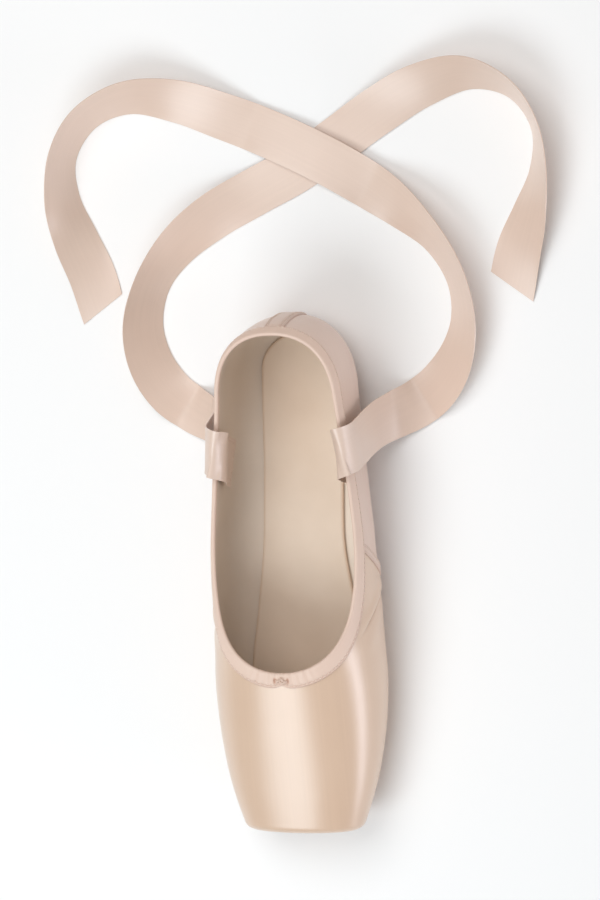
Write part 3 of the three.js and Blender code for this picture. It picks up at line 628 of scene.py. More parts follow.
def satin_side(side, along, shares):
    """Outer grid of half of the upper, the numbers for its material, and the distance from the seam."""
    columns = along[:, None] + np.zeros_like(shares)
    points, normals = surface(columns, shares)
    at = platform_edge(columns)[0]
    x, y, z = points[..., 0], side * points[..., 1], points[..., 2]
    ahead = (columns - wing_line(shares)) * math.cos(WING_SLANT)
    vamp = smooth_step(-0.6, 0.6, ahead)
    pleat, pleat_shade = pleat_relief(at, y, z)
    crease, crease_shade = crease_relief(at, z)
    on_cap = 1 - smooth_step(ROUND_FROM, ROUND_TO, columns)
    waves = cloth_waves(x, y, z) * on_cap * (1 - 0.5 * vamp)
    dimple = 0.5 * bump(ahead, -9.0, 6.0) * bump(z, 13.0, 7.0)
    relief = PANEL_STEP * (vamp - 1) * on_cap + pleat + crease * on_cap + waves - dimple * on_cap
    relief = relief + sewn_puckers(at, z)
    # Painted shade in the pleat valleys and the crease trough darkens the satin.
    soil_and_shade = np.clip(0.75 * pleat_shade + 0.6 * crease_shade, 0, 1)
    girth = side * (1 - shares) * girth_at(along)[:, None]
    outer = (points + normals * relief[..., None]) * [1, side, 1]
    return outer, {"soil_and_shade": soil_and_shade, "girth_mm": girth, "along_mm": columns}, ahead


def lining_side(side, along, shares):
    """Inner grid of half of the upper and the numbers for its material. Its wall thins to the collar."""
    columns = along[:, None] + np.zeros_like(shares)
    whole_girth = girth_at(along)[:, None]
    girth = side * (1 - shares) * whole_girth
    below_edge = (collar_share(along)[:, None] - shares) * whole_girth
    wall = skived(wall_at(columns), np.hypot(below_edge, np.maximum(columns - THROAT, 0)))
    inner = layer(columns, shares, -wall)
    inner[..., 2] = np.maximum(inner[..., 2], last_bottom(np.minimum(columns, LENGTH)) + wall)
    inner[0, 0] = inner[1, 0]
    return inner * [1, side, 1], {"soil_and_shade": np.zeros_like(girth), "girth_mm": girth, "along_mm": columns}


def make_upper():
    """Satin outside, lining inside, and a rim between them at the collar and round the opening below."""
    along = np.concatenate([[0.0]] + [eased(*column)[1:] for column in UPPER_COLUMNS])
    low, high = opening_share(along)[:, None], collar_share(along)[:, None]
    opens = opening_half(along) > 0
    rims = ((-1, along[:-1] < THROAT), (0, opens[:-1] | opens[1:]))
    row = np.linspace(0, 1, SATIN_ROWS + 1)
    rise = 0.45 * row + 0.55 * row**2
    satin_shares = low * (1 - rise) + high * rise
    row = np.linspace(0, 1, LINING_ROWS + 1)
    lining_shares = low * (1 - row) + high * row
    quads, ids, values = [], [], {"soil_and_shade": [], "girth_mm": [], "along_mm": []}

    def add(grid, numbers, slots, turned, part=slice(None)):
        turn = flipped if turned else np.asarray
        quads.append(turn(grid_quads(grid)[part]))
        ids.append(np.broadcast_to(slots, len(quads[-1])))
        for label, faces in values.items():
            faces.append(turn(grid_quads(numbers[label])[part]))

    for side in (1, -1):
        outer, satin_numbers, ahead = satin_side(side, along, satin_shares)
        inner, lining_numbers = lining_side(side, along, lining_shares)
        behind_seam = grid_quads(ahead).mean(axis=1) < 0
        add(outer, satin_numbers, behind_seam.astype(int), side < 0)
        add(inner, lining_numbers, 2, side > 0)
        for edge, part in rims:
            rim = np.stack([outer[:, edge], inner[:, edge]], axis=1)
            pairs = ((label, satin_numbers[label], lining_numbers[label]) for label in values)
            numbers = {label: np.stack([one[:, edge], two[:, edge]], axis=1) for label, one, two in pairs}
            add(rim, numbers, 2, (side > 0) == (edge == 0), part)
    values = {label: np.concatenate(faces) for label, faces in values.items()}
    materials = (VAMP_SATIN, QUARTER_SATIN, LINING_CLOTH)
    make_piece("upper_shell", "upper", np.concatenate(quads), materials, values, np.concatenate(ids))


make_upper()


# Bands, tubes and stitches
TUBE_SIDES = 10
STITCH_SIDES = 6
STITCH_LIFT = 0.06


def band(top, under, along, across, soil_and_shade=0.0):
    """A closed band between two faces, and the numbers at its corners.

    along holds a number for each row, across and the darkening of the colour, painted shade, for each place
    across it.
    """
    ends = [grid_quads(np.stack([top[k], under[k]], axis=1)) for k in (0, -1)]
    rings = np.concatenate([top, under[:, ::-1], top[:, :1]], axis=1)
    values = {}
    for label, number in (("along_mm", along[:, None]), ("girth_mm", across), ("soil_and_shade", soil_and_shade)):
        face = number + np.zeros(top.shape[:2])
        ring = np.concatenate([face, face[:, ::-1], face[:, :1]], axis=1)
        values[label] = np.concatenate([grid_quads(ring), np.zeros((2 * len(ends[0]), 4))])
    return np.concatenate([grid_quads(rings), ends[0], flipped(ends[1])]), values


def round_about(first, second, sides):
    """Directions round an axis, given two that lie across it."""
    angle = np.linspace(0, 2 * math.pi, sides + 1)[:, None]
    return np.cos(angle) * first[..., None, :] + np.sin(angle) * second[..., None, :]


def round_quads(points, tangent, normal, size):
    """Rings of faces round a line, given a direction across it and a radius at each point."""
    spokes = round_about(normal, np.cross(tangent, normal), TUBE_SIDES)
    return grid_quads(points[:, None] + size[:, None, None] * spokes)


def tube_quads(points, radius):
    """A round tube along a line, narrowed to a point at each end."""
    tangent = unit(np.gradient(points, axis=0))
    normal = np.zeros_like(points)
    across = np.array([0.31, 0.17, 0.93])
    for i, direction in enumerate(tangent):
        across = unit(across - direction * across.dot(direction))
        normal[i] = across
    size = np.full(len(points), radius)
    size[[0, -1]] = 0
    return round_quads(points, tangent, normal, size)


def loop_quads(points, radius, up):
    """A round tube along a closed line that lies nearly flat to up and whose last point repeats its first."""
    ring = points[:-1]
    tangent = unit(np.roll(ring, -1, axis=0) - np.roll(ring, 1, axis=0))
    normal = unit(up - tangent * (tangent @ up)[:, None])
    closed = [np.concatenate([v, v[:1]]) for v in (ring, tangent, normal)]
    return round_quads(*closed, np.full(len(points), radius))


def stitch_quads(line, ups, pitch, length, radius, start):
    """Sewn stitches along a line: short rounded bars, half sunk, with their ends pulled in."""
    run = run_of(line)
    begins = np.arange(start, run[-1] - length, pitch)
    along = begins[:, None] + length * np.array([0, 0.12, 0.5, 0.88, 1])
    up = unit(on_line(ups, run, along))
    place = on_line(line, run, along) + up * radius * np.array([-0.6, 0.15, 0.45, 0.15, -0.6])[:, None]
    axis = unit(place[:, -1:] - place[:, :1])
    up = unit(up - axis * np.sum(up * axis, axis=-1, keepdims=True))
    size = radius * np.array([0, 0.85, 1, 0.85, 0])[:, None, None]
    rings = place[:, :, None] + size * round_about(np.cross(axis, up), up, STITCH_SIDES)
    return np.concatenate([grid_quads(stitch) for stitch in rings])


# Ribbon ties: x, y, z and roll in degrees at each row of a route
LEFT_ROUTE = (
    (-50, 28.8, 24, 0), (-52.5, 28.4, 34, 0), (-54.6, 26.6, 42, 0), (-56.2, 26.4, 48.5, 0),
    (-57.7, 30.2, 52.8, 0), (-59.2, 34.4, 48.5, 0), (-61.6, 35.8, 39, 0), (-64.6, 36.8, 27, 0),
    (-67.7, 39.2, 15, 0), (-70.8, 44.8, 5.6, 0), (-75, 53.4, 1.4, 0), (-83, 64, 0, -14),
    (-96, 73, 0, -32), (-113, 77.5, 0, -48), (-132, 75, 0, -56), (-150, 65, 0, -50),
    (-165, 49, 0, -28), (-178, 30, 2.4, -6), (-190, 9, 2.8, 0), (-200, -12, 2.0, 0),
    (-209, -34, 0, -9), (-217, -57, 0, -26), (-219, -80, 0, -50), (-210, -100, 0, -67),
    (-193, -111, 0, -72), (-173, -112, 0, -60), (-154, -107, 0, -35), (-137, -101, 0, -12),
    (-121, -97, 0, 0),
)
RIGHT_ROUTE = (
    (-50, -28.8, 24, 0), (-52.3, -28.4, 34, 0), (-54.2, -26.6, 42, 0), (-55.6, -26.4, 48.5, 0),
    (-57, -30.2, 52.8, 0), (-58.4, -34.4, 48.5, 0), (-60.6, -35.8, 39, 0), (-63.4, -36.8, 27, 0),
    (-66.3, -39.2, 15, 0), (-69.2, -44.8, 5.6, 0), (-73, -53.4, 1.4, 0), (-81, -63.6, 0, 14),
    (-95, -72, 0, 34), (-113, -75, 0, 50), (-132, -70, 0, 56), (-149, -58, 0, 44),
    (-163, -41, 0, 20), (-174, -21, 0, 4), (-184, -1, 0, 0), (-196, 18, 0, 0),
    (-209, 38, 0, 9), (-220, 59, 0, 26), (-225, 82, 0, 50), (-217, 102, 0, 67),
    (-200, 113, 0, 72), (-180, 114, 0, 60), (-161, 109, 0, 35), (-144, 103, 0, 12),
    (-128, 99, 0, 0),
)
ROUTES = {"left": LEFT_ROUTE, "right": RIGHT_ROUTE}
RIBBON_WIDTH = 22.0
RIBBON_SPACE = 0.7
RIBBON_CLOTH = 0.4
RIBBON_STEPS = 336
RIBBON_ACROSS = 16
COLLAR_FLARE = 0.1
COLLAR_SLOPE = -0.16
LANDING_FROM = 8
LANDING_TO = 11
FLOOR_CLEAR = 0.1
LEAST_HEIGHT = 0.02
CUT_SLANT = 4.5
CUT_REACH = 30.0
SEWN_INSET = 1.6
SEWN_LENGTH = 15.0


def route_line(route):
    """A smooth line through the rows of a route, and the row number at each of its points."""
    knots = np.array(route, float)[:, :3]
    spans = len(knots) - 1
    line = np.concatenate([[2 * knots[0] - knots[1]], knots, [2 * knots[-1] - knots[-2]]])
    row = np.linspace(0, spans, RIBBON_STEPS + 1)
    i = np.minimum(row.astype(int), spans - 1)
    t = (row - i)[:, None]
    a, b, c, d = (line[i + k] for k in range(4))
    ab, bc, cd = (np.sqrt(np.linalg.norm(q - p, axis=1))[:, None] for p, q in ((a, b), (b, c), (c, d)))
    leaving = ((b - a) / ab - (c - a) / (ab + bc)) * bc + c - b
    coming = ((d - c) / cd - (d - b) / (bc + cd)) * bc + c - b
    points = b * (1 + 2 * t) * (1 - t) ** 2 + c * t * t * (3 - 2 * t)
    return points + leaving * t * (1 - t) ** 2 - coming * t * t * (1 - t), row


def ribbon_axes(route):
    """Centre line of a ribbon, its axes along it, across it and out of its face, and where it has landed."""
    centre, row = route_line(route)
    tangent = unit(np.gradient(centre, axis=0))
    side = math.copysign(1, route[0][1])
    collar = np.array([1, side * COLLAR_FLARE, COLLAR_SLOPE])
    level = side * unit(np.stack([tangent[:, 1], -tangent[:, 0], np.zeros(len(tangent))], axis=1))
    landed = smooth_step(LANDING_FROM, LANDING_TO, row)[:, None]
    across = collar * (1 - landed) + level * landed
    across = unit(across - tangent * np.sum(across * tangent, axis=1, keepdims=True))
    over = np.cross(tangent, across)
    roll_at = smooth_column([(10 * i, place[3]) for i, place in enumerate(route)], softness=2.0)
    turn = np.radians(roll_at(10 * row))[:, None]
    across, over = across * np.cos(turn) + over * np.sin(turn), over * np.cos(turn) - across * np.sin(turn)
    rest = (np.abs(across[:, 2]) * RIBBON_WIDTH + np.abs(over[:, 2]) * RIBBON_SPACE) / 2 + FLOOR_CLEAR
    centre[:, 2] = np.maximum(centre[:, 2], rest)
    return centre, tangent, across, over, landed[:, 0]


def make_ribbon(side, route):
    centre, tangent, across, over, landed = ribbon_axes(route)
    run = run_of(centre)
    w = np.linspace(-1, 1, RIBBON_ACROSS + 1)
    width = w * RIBBON_WIDTH / 2
    cut = CUT_SLANT * smooth_step(run[-1] - CUT_REACH, run[-1], run)[:, None] * w
    ripple = 0.12 * np.sin(run / 8.3 + 0.7)[:, None] * w + 0.1 * np.sin(run / 21.0)[:, None] * np.abs(w) ** 3
    cup = landed[:, None] * (0.16 * (1 - w * w) + ripple)
    half = RIBBON_CLOTH / 2 * (0.8 + 0.35 * smooth_step(0.88, 0.95, np.abs(w)))
    spine = centre[:, None] + across[:, None] * width[:, None] + tangent[:, None] * cut[..., None]
    top, under = (spine + over[:, None] * lift[..., None] for lift in (cup + half, cup - half))
    for face in (top, under):
        face[..., 2] = np.maximum(face[..., 2], LEAST_HEIGHT)
    quads, values = band(top, under, run, width)
    name, node = f"ribbon_{side}", f"ribbon_tie_{side}"
    piece = make_piece(name, node, quads, (RIBBON_SATIN,), values, crease_deg=50)


def make_ribbon_stitches(side, route):
    """Stitches round the sewn end of a ribbon, on the face towards the foot."""
    centre, _, across, over, _ = ribbon_axes(route)
    run = run_of(centre)
    edge = RIBBON_WIDTH / 2 - SEWN_INSET
    up = np.linspace(SEWN_INSET, SEWN_LENGTH, 24)
    width = np.linspace(-edge, edge, 30)
    along = np.concatenate([up[::-1], np.full(len(width) - 2, SEWN_INSET), up])
    sideways = np.concatenate([np.full(len(up), -edge), width[1:-1], np.full(len(up), edge)])
    middle, cross, out = (on_line(axis, run, along) for axis in (centre, across, over))
    inward = -math.copysign(1, route[0][1]) * unit(out)
    line = middle + cross * sideways[:, None] + inward * (RIBBON_CLOTH / 2 + 0.02)
    quads = stitch_quads(line, inward, pitch=2.6, length=1.7, radius=0.18, start=0.5)
    make_piece(f"ribbon_stitches_{side}", None, quads, (SEW_THREAD,))


for side, route in ROUTES.items():
    make_ribbon(side, route)
for side, route in ROUTES.items():
    make_ribbon_stitches(side, route)


# Collar binding
BINDING_SEAT = 0.12
BINDING_LEAF = 0.45
BINDING_REACH = 9.0
BINDING_WALK = 18
OUTSIDE_POINTS = 19
INSIDE_POINTS = 9
FOLD_POINTS = 11
THROAT_FINE = 14.0
THROAT_STATIONS = 57
COLLAR_STATIONS = 171
SLIT_AT = 2.9
SLIT_WIDE = 0.55
NOTCH_RISE = 1.5
# Rows of stitches: distance from the low edge, lift, reach from the throat, first stitch
BINDING_STITCHES = ((1.0, STITCH_LIFT, math.inf, 1.2), (1.8, 0.22, 34.0, 2.0))


class Collar:
    """The collar edge with y at least 0, from the middle of the throat to the middle of the heel."""

    def __init__(self):
        fine = eased(0, THROAT, 900, "high")[::-1]
        run = run_of(last_points(fine, collar_share(fine)))
        self.length = run[-1]
        near_throat = np.linspace(0, THROAT_FINE, THROAT_STATIONS)
        self.arc = np.concatenate([near_throat, np.linspace(THROAT_FINE, self.length, COLLAR_STATIONS)[1:]])
        self.along = np.interp(self.arc, run, fine)
        self.share = collar_share(self.along)
        self.edge, self.out = surface(self.along, self.share)
        around = np.concatenate([self.edge[1:2] * MIRROR, self.edge, self.edge[-2:-1] * MIRROR])
        steps = unit(np.diff(around, axis=0))
        self.away = unit(np.cross(unit(steps[:-1] + steps[1:]), self.out))
        self.walk()

    def walk(self):
        """Places on the upper at equal steps straight away from the opening."""
        along, share = self.along, self.share
        walked = [(self.edge, self.out)]
        goal = self.away * (BINDING_REACH / BINDING_WALK)
        for _ in range(BINDING_WALK):
            u, v = slopes(along, share)
            uu, uv, vv = (np.sum(p * q, axis=1) for p, q in ((u, u), (u, v), (v, v)))
            gu, gv = np.sum(goal * u, axis=1), np.sum(goal * v, axis=1)
            spread = uu * vv - uv * uv
            along = np.maximum(along + (gu * vv - gv * uv) / spread, 0)
            share = np.minimum(share + (gv * uu - gu * uv) / spread, 1)
            walked.append(surface(along, share))
        self.places, self.normals = (np.stack(rows, axis=1) for rows in zip(*walked))

    def at(self, down, offset):
        """Points at a distance below the edge and an offset over the upper, and the normals there."""
        step = np.clip(down, 0, BINDING_REACH) * (BINDING_WALK / BINDING_REACH)
        i = np.minimum(step.astype(int), BINDING_WALK - 1)
        t = (step - i)[..., None]
        rows = np.arange(len(self.arc))[:, None]
        place, normal = (v[rows, i] * (1 - t) + v[rows, i + 1] * t for v in (self.places, self.normals))
        normal = unit(normal)
        lift = np.minimum(down, 0)[..., None] * self.away[:, None]
        return place + lift + normal * np.asarray(offset)[..., None], normal


collar = Collar()


def binding_form():
    """Distance below the edge, offset and painted shade for each point of each ring, and the low edge's
    distance.
    """
    arc = collar.arc[:, None]
    wall = wall_at(collar.along)[:, None]
    notch = NOTCH_RISE * bump(arc, 0, 2.2) + 0.5 * bump(arc, 0, 16)
    wander = 0.1 * np.sin(arc / 11.0) + 0.07 * np.sin(arc / 4.7 + 1)
    low = BINDING_OUTSIDE - notch + wander
    t = np.linspace(0, 1, OUTSIDE_POINTS)
    down_out = low * (1 - t)
    stitch = bump(down_out, low - 1.0, 0.4)
    swell = np.sin(math.pi * np.clip(t, 0.06, 1) ** 0.8)
    out = BINDING_SEAT + BINDING_LEAF * smooth_step(-0.02, 0.05, t) + 0.32 * swell - 0.22 * stitch
    gathered = bump(arc, 0, 24.0) * smooth_step(0.08, 0.35, t)
    pucker = np.sin(arc * 2.1 + 0.9 * np.sin(arc / 3.0)) * 0.19 + np.sin(arc * 0.83 + down_out * 0.35) * 0.11
    heel_pucker = bump(arc, collar.length, 26.0) * np.sin(arc * 1.3) * 0.05
    slit = bump(arc, SLIT_AT, SLIT_WIDE) * bump(down_out, 2.6, 1.3)
    out = out + pucker * gathered + heel_pucker * smooth_step(0.05, 0.4, t) - 0.8 * slit
    # Painted shade in the stitch dip, in the drawstring slits and along the low edge where the binding sits
    # on the upper.
    soil_and_shade = np.clip(0.35 * stitch + slit + 0.5 * (1 - smooth_step(0, 0.08, t)), 0, 1)
    inner = np.linspace(0, 1, INSIDE_POINTS)
    down_in = BINDING_INSIDE * inner + 0 * arc
    lining = -skived(wall, down_in) - BINDING_SEAT
    over_in = lining - BINDING_LEAF + 0.2 * smooth_step(0.3, 1, inner)
    turn = np.linspace(0, math.pi, FOLD_POINTS)[1:-1]
    middle = (out[:, -1:] + over_in[:, :1]) / 2
    half = (out[:, -1:] - over_in[:, :1]) / 2
    down_top = -half * np.sin(turn)
    over_top = middle + half * np.cos(turn)
    down_back = np.array([BINDING_INSIDE, -0.3, -0.3]) + 0 * arc
    over_back = np.concatenate([lining[:, -1:], lining[:, :1], BINDING_SEAT + 0 * wall], axis=1)
    down = np.concatenate([down_out, down_top, down_in, down_back, down_out[:, :1]], axis=1)
    offset = np.concatenate([out, over_top, over_in, over_back, out[:, :1]], axis=1)
    clean = np.zeros((len(arc), down.shape[1] - OUTSIDE_POINTS - 1))
    return down, offset, np.concatenate([soil_and_shade, clean, soil_and_shade[:, :1]], axis=1), low


def make_binding():
    down, offset, soil_and_shade, low = binding_form()
    rings, _ = collar.at(down, offset)
    rings[[0, -1], :, 1] = 0
    half = grid_quads(rings)
    quads = np.concatenate([half, mirrored(half)])
    values = {}
    for label, number in (("soil_and_shade", soil_and_shade), ("girth_mm", down), ("along_mm", collar.arc[:, None] + 0 * down)):
        faces = grid_quads(number)
        values[label] = np.concatenate([faces, flipped(faces)])
    make_piece("binding_fold", "collar_binding", quads, (BINDING_SATIN,), values)
    rows = []
    for inset, lift, reach, start in BINDING_STITCHES:
        near = collar.arc < reach
        line, ups = collar.at(low - inset, np.full_like(low, BINDING_SEAT + BINDING_LEAF + lift))
        quads = stitch_quads(line[near, 0], ups[near, 0], pitch=2.1, length=1.45, radius=0.18, start=start)
        rows += [quads, mirrored(quads)]
    make_piece("binding_stitches", None, np.concatenate(rows), (SEW_THREAD,))


make_binding()


# Drawstring: a small flat knot between the slits of the channel
KNOT_SPREAD = 0.66
KNOT_CORD = 0.42
KNOT_DOWN = 2.2
KNOT_LIFT = 0.75


def make_knot():
    edge, out, away = collar.edge[0], collar.out[0], collar.away[0]
    across = np.array([0.0, 1.0, 0.0])
    seat = BINDING_SEAT + BINDING_LEAF + KNOT_LIFT
    centre = edge + away * KNOT_DOWN
    turn = np.linspace(0, 2 * math.pi, 91)
    sideways = KNOT_SPREAD * (np.sin(turn) + 2 * np.sin(2 * turn))
    lengthways = 0.62 * KNOT_SPREAD * (np.cos(turn) - 2 * np.cos(2 * turn))
    raised = seat - 0.42 * np.sin(3 * turn)
    loop = centre + sideways[:, None] * across + lengthways[:, None] * away + raised[:, None] * out
    quads = [loop_quads(loop, KNOT_CORD, out)]
    t = np.linspace(0, 1, 14)[:, None]
    for side in (1, -1):
        start = centre + across * side * 0.9 + out * seat
        middle = edge + away * (2.3 + 0.4 * side) + across * side * 2.1 + out * (seat + 0.2)
        slit = edge + away * 2.6 + across * side * SLIT_AT - out * 0.1
        tail = start * (1 - t) ** 2 + middle * 2 * t * (1 - t) + slit * t * t
        quads.append(tube_quads(tail, KNOT_CORD * 0.92))
    make_piece("knot_cord", "drawstring_knot", np.concatenate(quads), (CORD_THREAD,))


make_knot()


# Seam tapes
TAPE_ROWS = 64
TAPE_ACROSS = 20
TAPE_THICK = 0.68
TAPE_SEAT = 0.12
TAPE_SEWN_FROM = 0.07
TAPE_SEWN_TO = 0.97
HEEL_TAPE_HALF = 5.2
HEEL_TAPE_SEAT = 0.4
HEEL_TAPE_TUCK = 2.6
HEEL_TAPE_CLEAR = 0.3
TAPE_UNDER_BINDING = -0.07
TAPE_UNDER_SOLE = 0.09
# Rows of stitches, as places across the tape from -1 to 1
WING_ROWS = (-0.66, -0.3, 0.62)
HEEL_ROWS = (-0.8, -0.62, 0.62, 0.8)


def make_tape(label, node, ends, point_at, rows, sink, half):
    """A folded tape with a groove along each row of stitches and painted shade in the grooves and along its
    edges, for each ending of its name.

    point_at gives the points and normals for rows t and places w across. The second copy is the mirror image.
    """
    t = np.linspace(0, 1, TAPE_ROWS + 1)
    w = np.linspace(-1, 1, TAPE_ACROSS + 1)
    points, normals = point_at(t[:, None] + 0 * w, w + 0 * t[:, None])
    height = TAPE_THICK * np.sqrt(np.clip(1 - np.abs(w) ** 8, 0, 1))
    height = height - 0.2 * sum(bump(w, place, 0.09) for place in rows)
    tuck = 0.1 + 0.9 * smooth_step(0.03, 0.1, t)
    top = points + normals * (tuck[:, None] * height)[..., None]
    under = points - normals * sink(w)[:, None]
    # Painted shade along each row of stitches and at both edges of the tape.
    seam_shade = np.clip(sum(bump(w, place, 0.12) for place in rows) * 0.5 + (np.abs(w) > 0.97), 0, 1)
    body, values = band(top, under, run_of(points[:, TAPE_ACROSS // 2]), w * half, 0.6 * seam_shade)
    sewn = t[(t > TAPE_SEWN_FROM) & (t < TAPE_SEWN_TO)]
    stitches = []
    for place in rows:
        line, ups = point_at(sewn, np.full(len(sewn), place))
        line = line + ups * (np.interp(place, w, height) + STITCH_LIFT)
        stitches.append(stitch_quads(line, ups, pitch=1.9, length=1.3, radius=0.18, start=0.4))
    stitches = np.concatenate(stitches)
    for copy, end in enumerate(ends):
        if copy:
            body, stitches = mirrored(body), mirrored(stitches)
            values = {name: flipped(number) for name, number in values.items()}
        name = f"{label}_tape{end}"
        make_piece(name, node + end, body, (QUARTER_SATIN,), values, crease_deg=60)
        make_piece(f"{label}_stitches{end}", None, stitches, (SEW_THREAD,))


def wing_place(t, w):
    reach = TAPE_UNDER_BINDING + (1 + TAPE_UNDER_SOLE - TAPE_UNDER_BINDING) * t
    along = WING_COLLAR_AT + (WING_SOLE_AT - WING_COLLAR_AT) * reach + w * WING_HALF * math.cos(WING_SLANT)
    share = WING_HIGH + (WING_LOW - WING_HIGH) * reach + w * WING_HALF * math.sin(WING_SLANT) / WING_GIRTH
    return surface(along, share)


def wing_sink(w):
    """Depth of the tape's underside, which lies on the lower panel behind the seam."""
    return TAPE_SEAT + PANEL_STEP * (1 - smooth_step(-0.4, 0.4, w))


def heel_place(t, w):
    top = collar_height(0) - BINDING_OUTSIDE + HEEL_TAPE_TUCK
    bottom = last_bottom(0) + HEEL_TAPE_CLEAR
    height = top + (bottom - top) * t
    part = (np.abs(w * HEEL_TAPE_HALF) / last_half(0)) ** HEEL_SQUARENESS
    along = HEEL_ROUND * (1 - (1 - part) ** (1 / HEEL_SQUARENESS))
    share = share_at_height(along.ravel(), height.ravel()).reshape(along.shape)
    return [v * np.where(w[..., None] < 0, MIRROR, 1) for v in surface(along, share)]


def heel_sink(w):
    return np.full_like(w, HEEL_TAPE_SEAT)


make_tape("wing", "wing_seam", ("_left", "_right"), wing_place, WING_ROWS, wing_sink, WING_HALF)
make_tape("heel", "back_strip", ("",), heel_place, HEEL_ROWS, heel_sink, HEEL_TAPE_HALF)


# Outsole and insole
SOLE_ROWS = 190
SOLE_ACROSS = 33
OUTSOLE_EDGE_LIFT = 0.9
OUTSOLE_FLAT_SHARE = 0.6
INSOLE_THICK = 1.5
INSIDE_GAP = 0.7
CHANNEL_INSET = 3.0
CHANNEL_DEPTH = 0.28
EDGE_ROUND = 0.35
OUTSOLE_SWELL = 0.12
OUTSOLE_CREASE_DEG = 40
INSOLE_CREASE_DEG = 60
RIM_FADE = 4.0


def sole_grid(outline, span, offset):
    """Half a sole, middle to edge: places along, shares of its width, half widths, girth shares, points."""
    along = eased(span[0], span[1], SOLE_ROWS, "both")
    share_out = np.sin(np.linspace(0, math.pi / 2, SOLE_ACROSS + 1))
    half = rounded_half(outline, span, along)
    widths = half[:, None] * share_out
    columns = along[:, None] + 0 * widths
    share = share_at_half(columns.ravel(), widths.ravel()).reshape(widths.shape)
    grid = layer(columns, share, np.full(columns.shape, offset))
    grid[:, 0, 1] = 0
    return columns, share_out, half, share, grid


def both(grid, mirror=1):
    """A half grid with its mirror image, edge to edge across the shoe."""
    return np.concatenate([grid[:, :0:-1] * mirror, grid], axis=1)


def edge_distance(grid):
    """Distance of each place of a half grid from the outline, seen from below."""
    line = grid[:, -1, :2]
    ring = np.concatenate([line, line[::-1] * MIRROR[:2]])
    flat = grid[..., :2].reshape(-1, 2)
    best = np.full(len(flat), np.inf)
    for a, b in zip(ring[:-1], ring[1:]):
        ab = b - a
        size = ab.dot(ab)
        if size > 1e-9:
            t = np.clip((flat - a) @ ab / size, 0, 1)[:, None]
            best = np.minimum(best, np.linalg.norm(flat - a - t * ab, axis=1))
    return best.reshape(grid.shape[:2])


def sole_body(top, bottom, swell, numbers, ids):
    """A whole sole from both faces of one half. ids are its materials above, below and on the two rims.

    numbers holds the values of each label on the upper face, half way down the rim and on the lower face.
    """
    above, below = both(top, MIRROR), both(bottom, MIRROR)
    bulge = swell * np.clip(above[:, -1, 1:2] / RIM_FADE, 0, 1) * [0, 1, 0]
    rim = np.stack([above[:, -1], (above[:, -1] + below[:, -1]) / 2 + bulge, below[:, -1]], axis=1)
    parts = [grid_quads(above), flipped(grid_quads(below)), grid_quads(rim), mirrored(grid_quads(rim))]
    ids = np.concatenate([np.full(len(part), number) for part, number in zip(parts, ids)])
    quads = np.concatenate(parts)
    values = {"girth_mm": quads[..., 1]}
    for label, (over, middle, under) in numbers.items():
        side = np.stack([over[:, -1], middle + 0 * over[:, -1], under[:, -1]], axis=1)
        over, under, side = (grid_quads(grid) for grid in (both(over), both(under), side))
        values[label] = np.concatenate([over, flipped(under), side, flipped(side)])
    return quads, values, ids


def channel_line(top):
    """The sewn line along the rim of the sole on the side with y at least 0, under its channel."""
    edge = top[:, -1, :2]
    forward = unit(np.gradient(edge, axis=0))
    place = edge + CHANNEL_INSET * np.stack([forward[:, 1], -forward[:, 0]], axis=1)
    place = place[place[:, 1] > 0]
    at = place[:, 0] + MIDDLE
    side = place[:, 1] / np.maximum(rounded_half(outsole_outline, OUTSOLE_SPAN, at), 1)
    lift = np.maximum(side - OUTSOLE_FLAT_SHARE, 0) / (1 - OUTSOLE_FLAT_SHARE)
    height = underside(at) + OUTSOLE_EDGE_LIFT * np.minimum(lift, 1) ** 2 + CHANNEL_DEPTH
    return np.column_stack([place, height])


def make_outsole():
    columns, share_out, half, _, top = sole_grid(outsole_outline, OUTSOLE_SPAN, SEAT_GAP)
    inside = edge_distance(top)
    edge = np.maximum(share_out - OUTSOLE_FLAT_SHARE, 0) / (1 - OUTSOLE_FLAT_SHARE)
    rounding = EDGE_ROUND * np.clip(1 - inside / 1.2, 0, 1) ** 2
    channel = CHANNEL_DEPTH * bump(inside, CHANNEL_INSET, 0.55)
    x, y = top[..., 0], top[..., 1]
    nap = 0.03 * np.sin(x * 1.7 + np.sin(y)) * np.sin(y * 1.9 + np.sin(x * 0.7))
    lift = OUTSOLE_EDGE_LIFT * edge**2 + rounding + channel
    bottom = top.copy()
    bottom[..., 1] *= (1 - 0.25 / np.maximum(half, 2))[:, None]
    bottom[..., 2] = np.maximum(underside(columns) + lift + nap, 0.0)
    worn = 0.75 * smooth_step(182, 214, columns) + 0.25 * bump(columns, 160, 22) * bump(y, 0, 15)
    # Painted shade in the stitch channel, and darker along the rim.
    channel_shade_and_dark_rim = 0.5 * bump(inside, CHANNEL_INSET, 0.7) + 0.45 * (1 - smooth_step(0, 1.2, inside))
    soil_and_shade = np.clip(worn + channel_shade_and_dark_rim, 0, 1)
    under_ball = smooth_step(146, 156, columns) * (1 - smooth_step(206, 212, columns))
    score = under_ball * smooth_step(3.6, 4.4, inside)
    numbers = {
        # The upper face and the top of the cut edge are painted fully dark, as shade in the gap under the
        # upper; the middle of the edge a little.
        "soil_and_shade": (np.ones_like(soil_and_shade), 0.1, soil_and_shade),
        "score": (score, 0.0, score),
        "along_mm": (columns, columns[:, -1], columns),
    }
    quads, values, ids = sole_body(top, bottom, OUTSOLE_SWELL, numbers, (1, 0, 1, 1))
    materials = (SOLE_SUEDE, SOLE_EDGE)
    make_piece("sole_leather", "outsole", quads, materials, values, ids, OUTSOLE_CREASE_DEG)
    half_line = channel_line(top)
    line = np.concatenate([half_line, half_line[::-1] * MIRROR])
    ups = np.tile([0.0, 0.0, -1.0], (len(line), 1))
    quads = stitch_quads(line, ups, pitch=3.3, length=2.3, radius=0.2, start=1.0)
    make_piece("sole_stitches", None, quads, (SOLE_THREAD,))


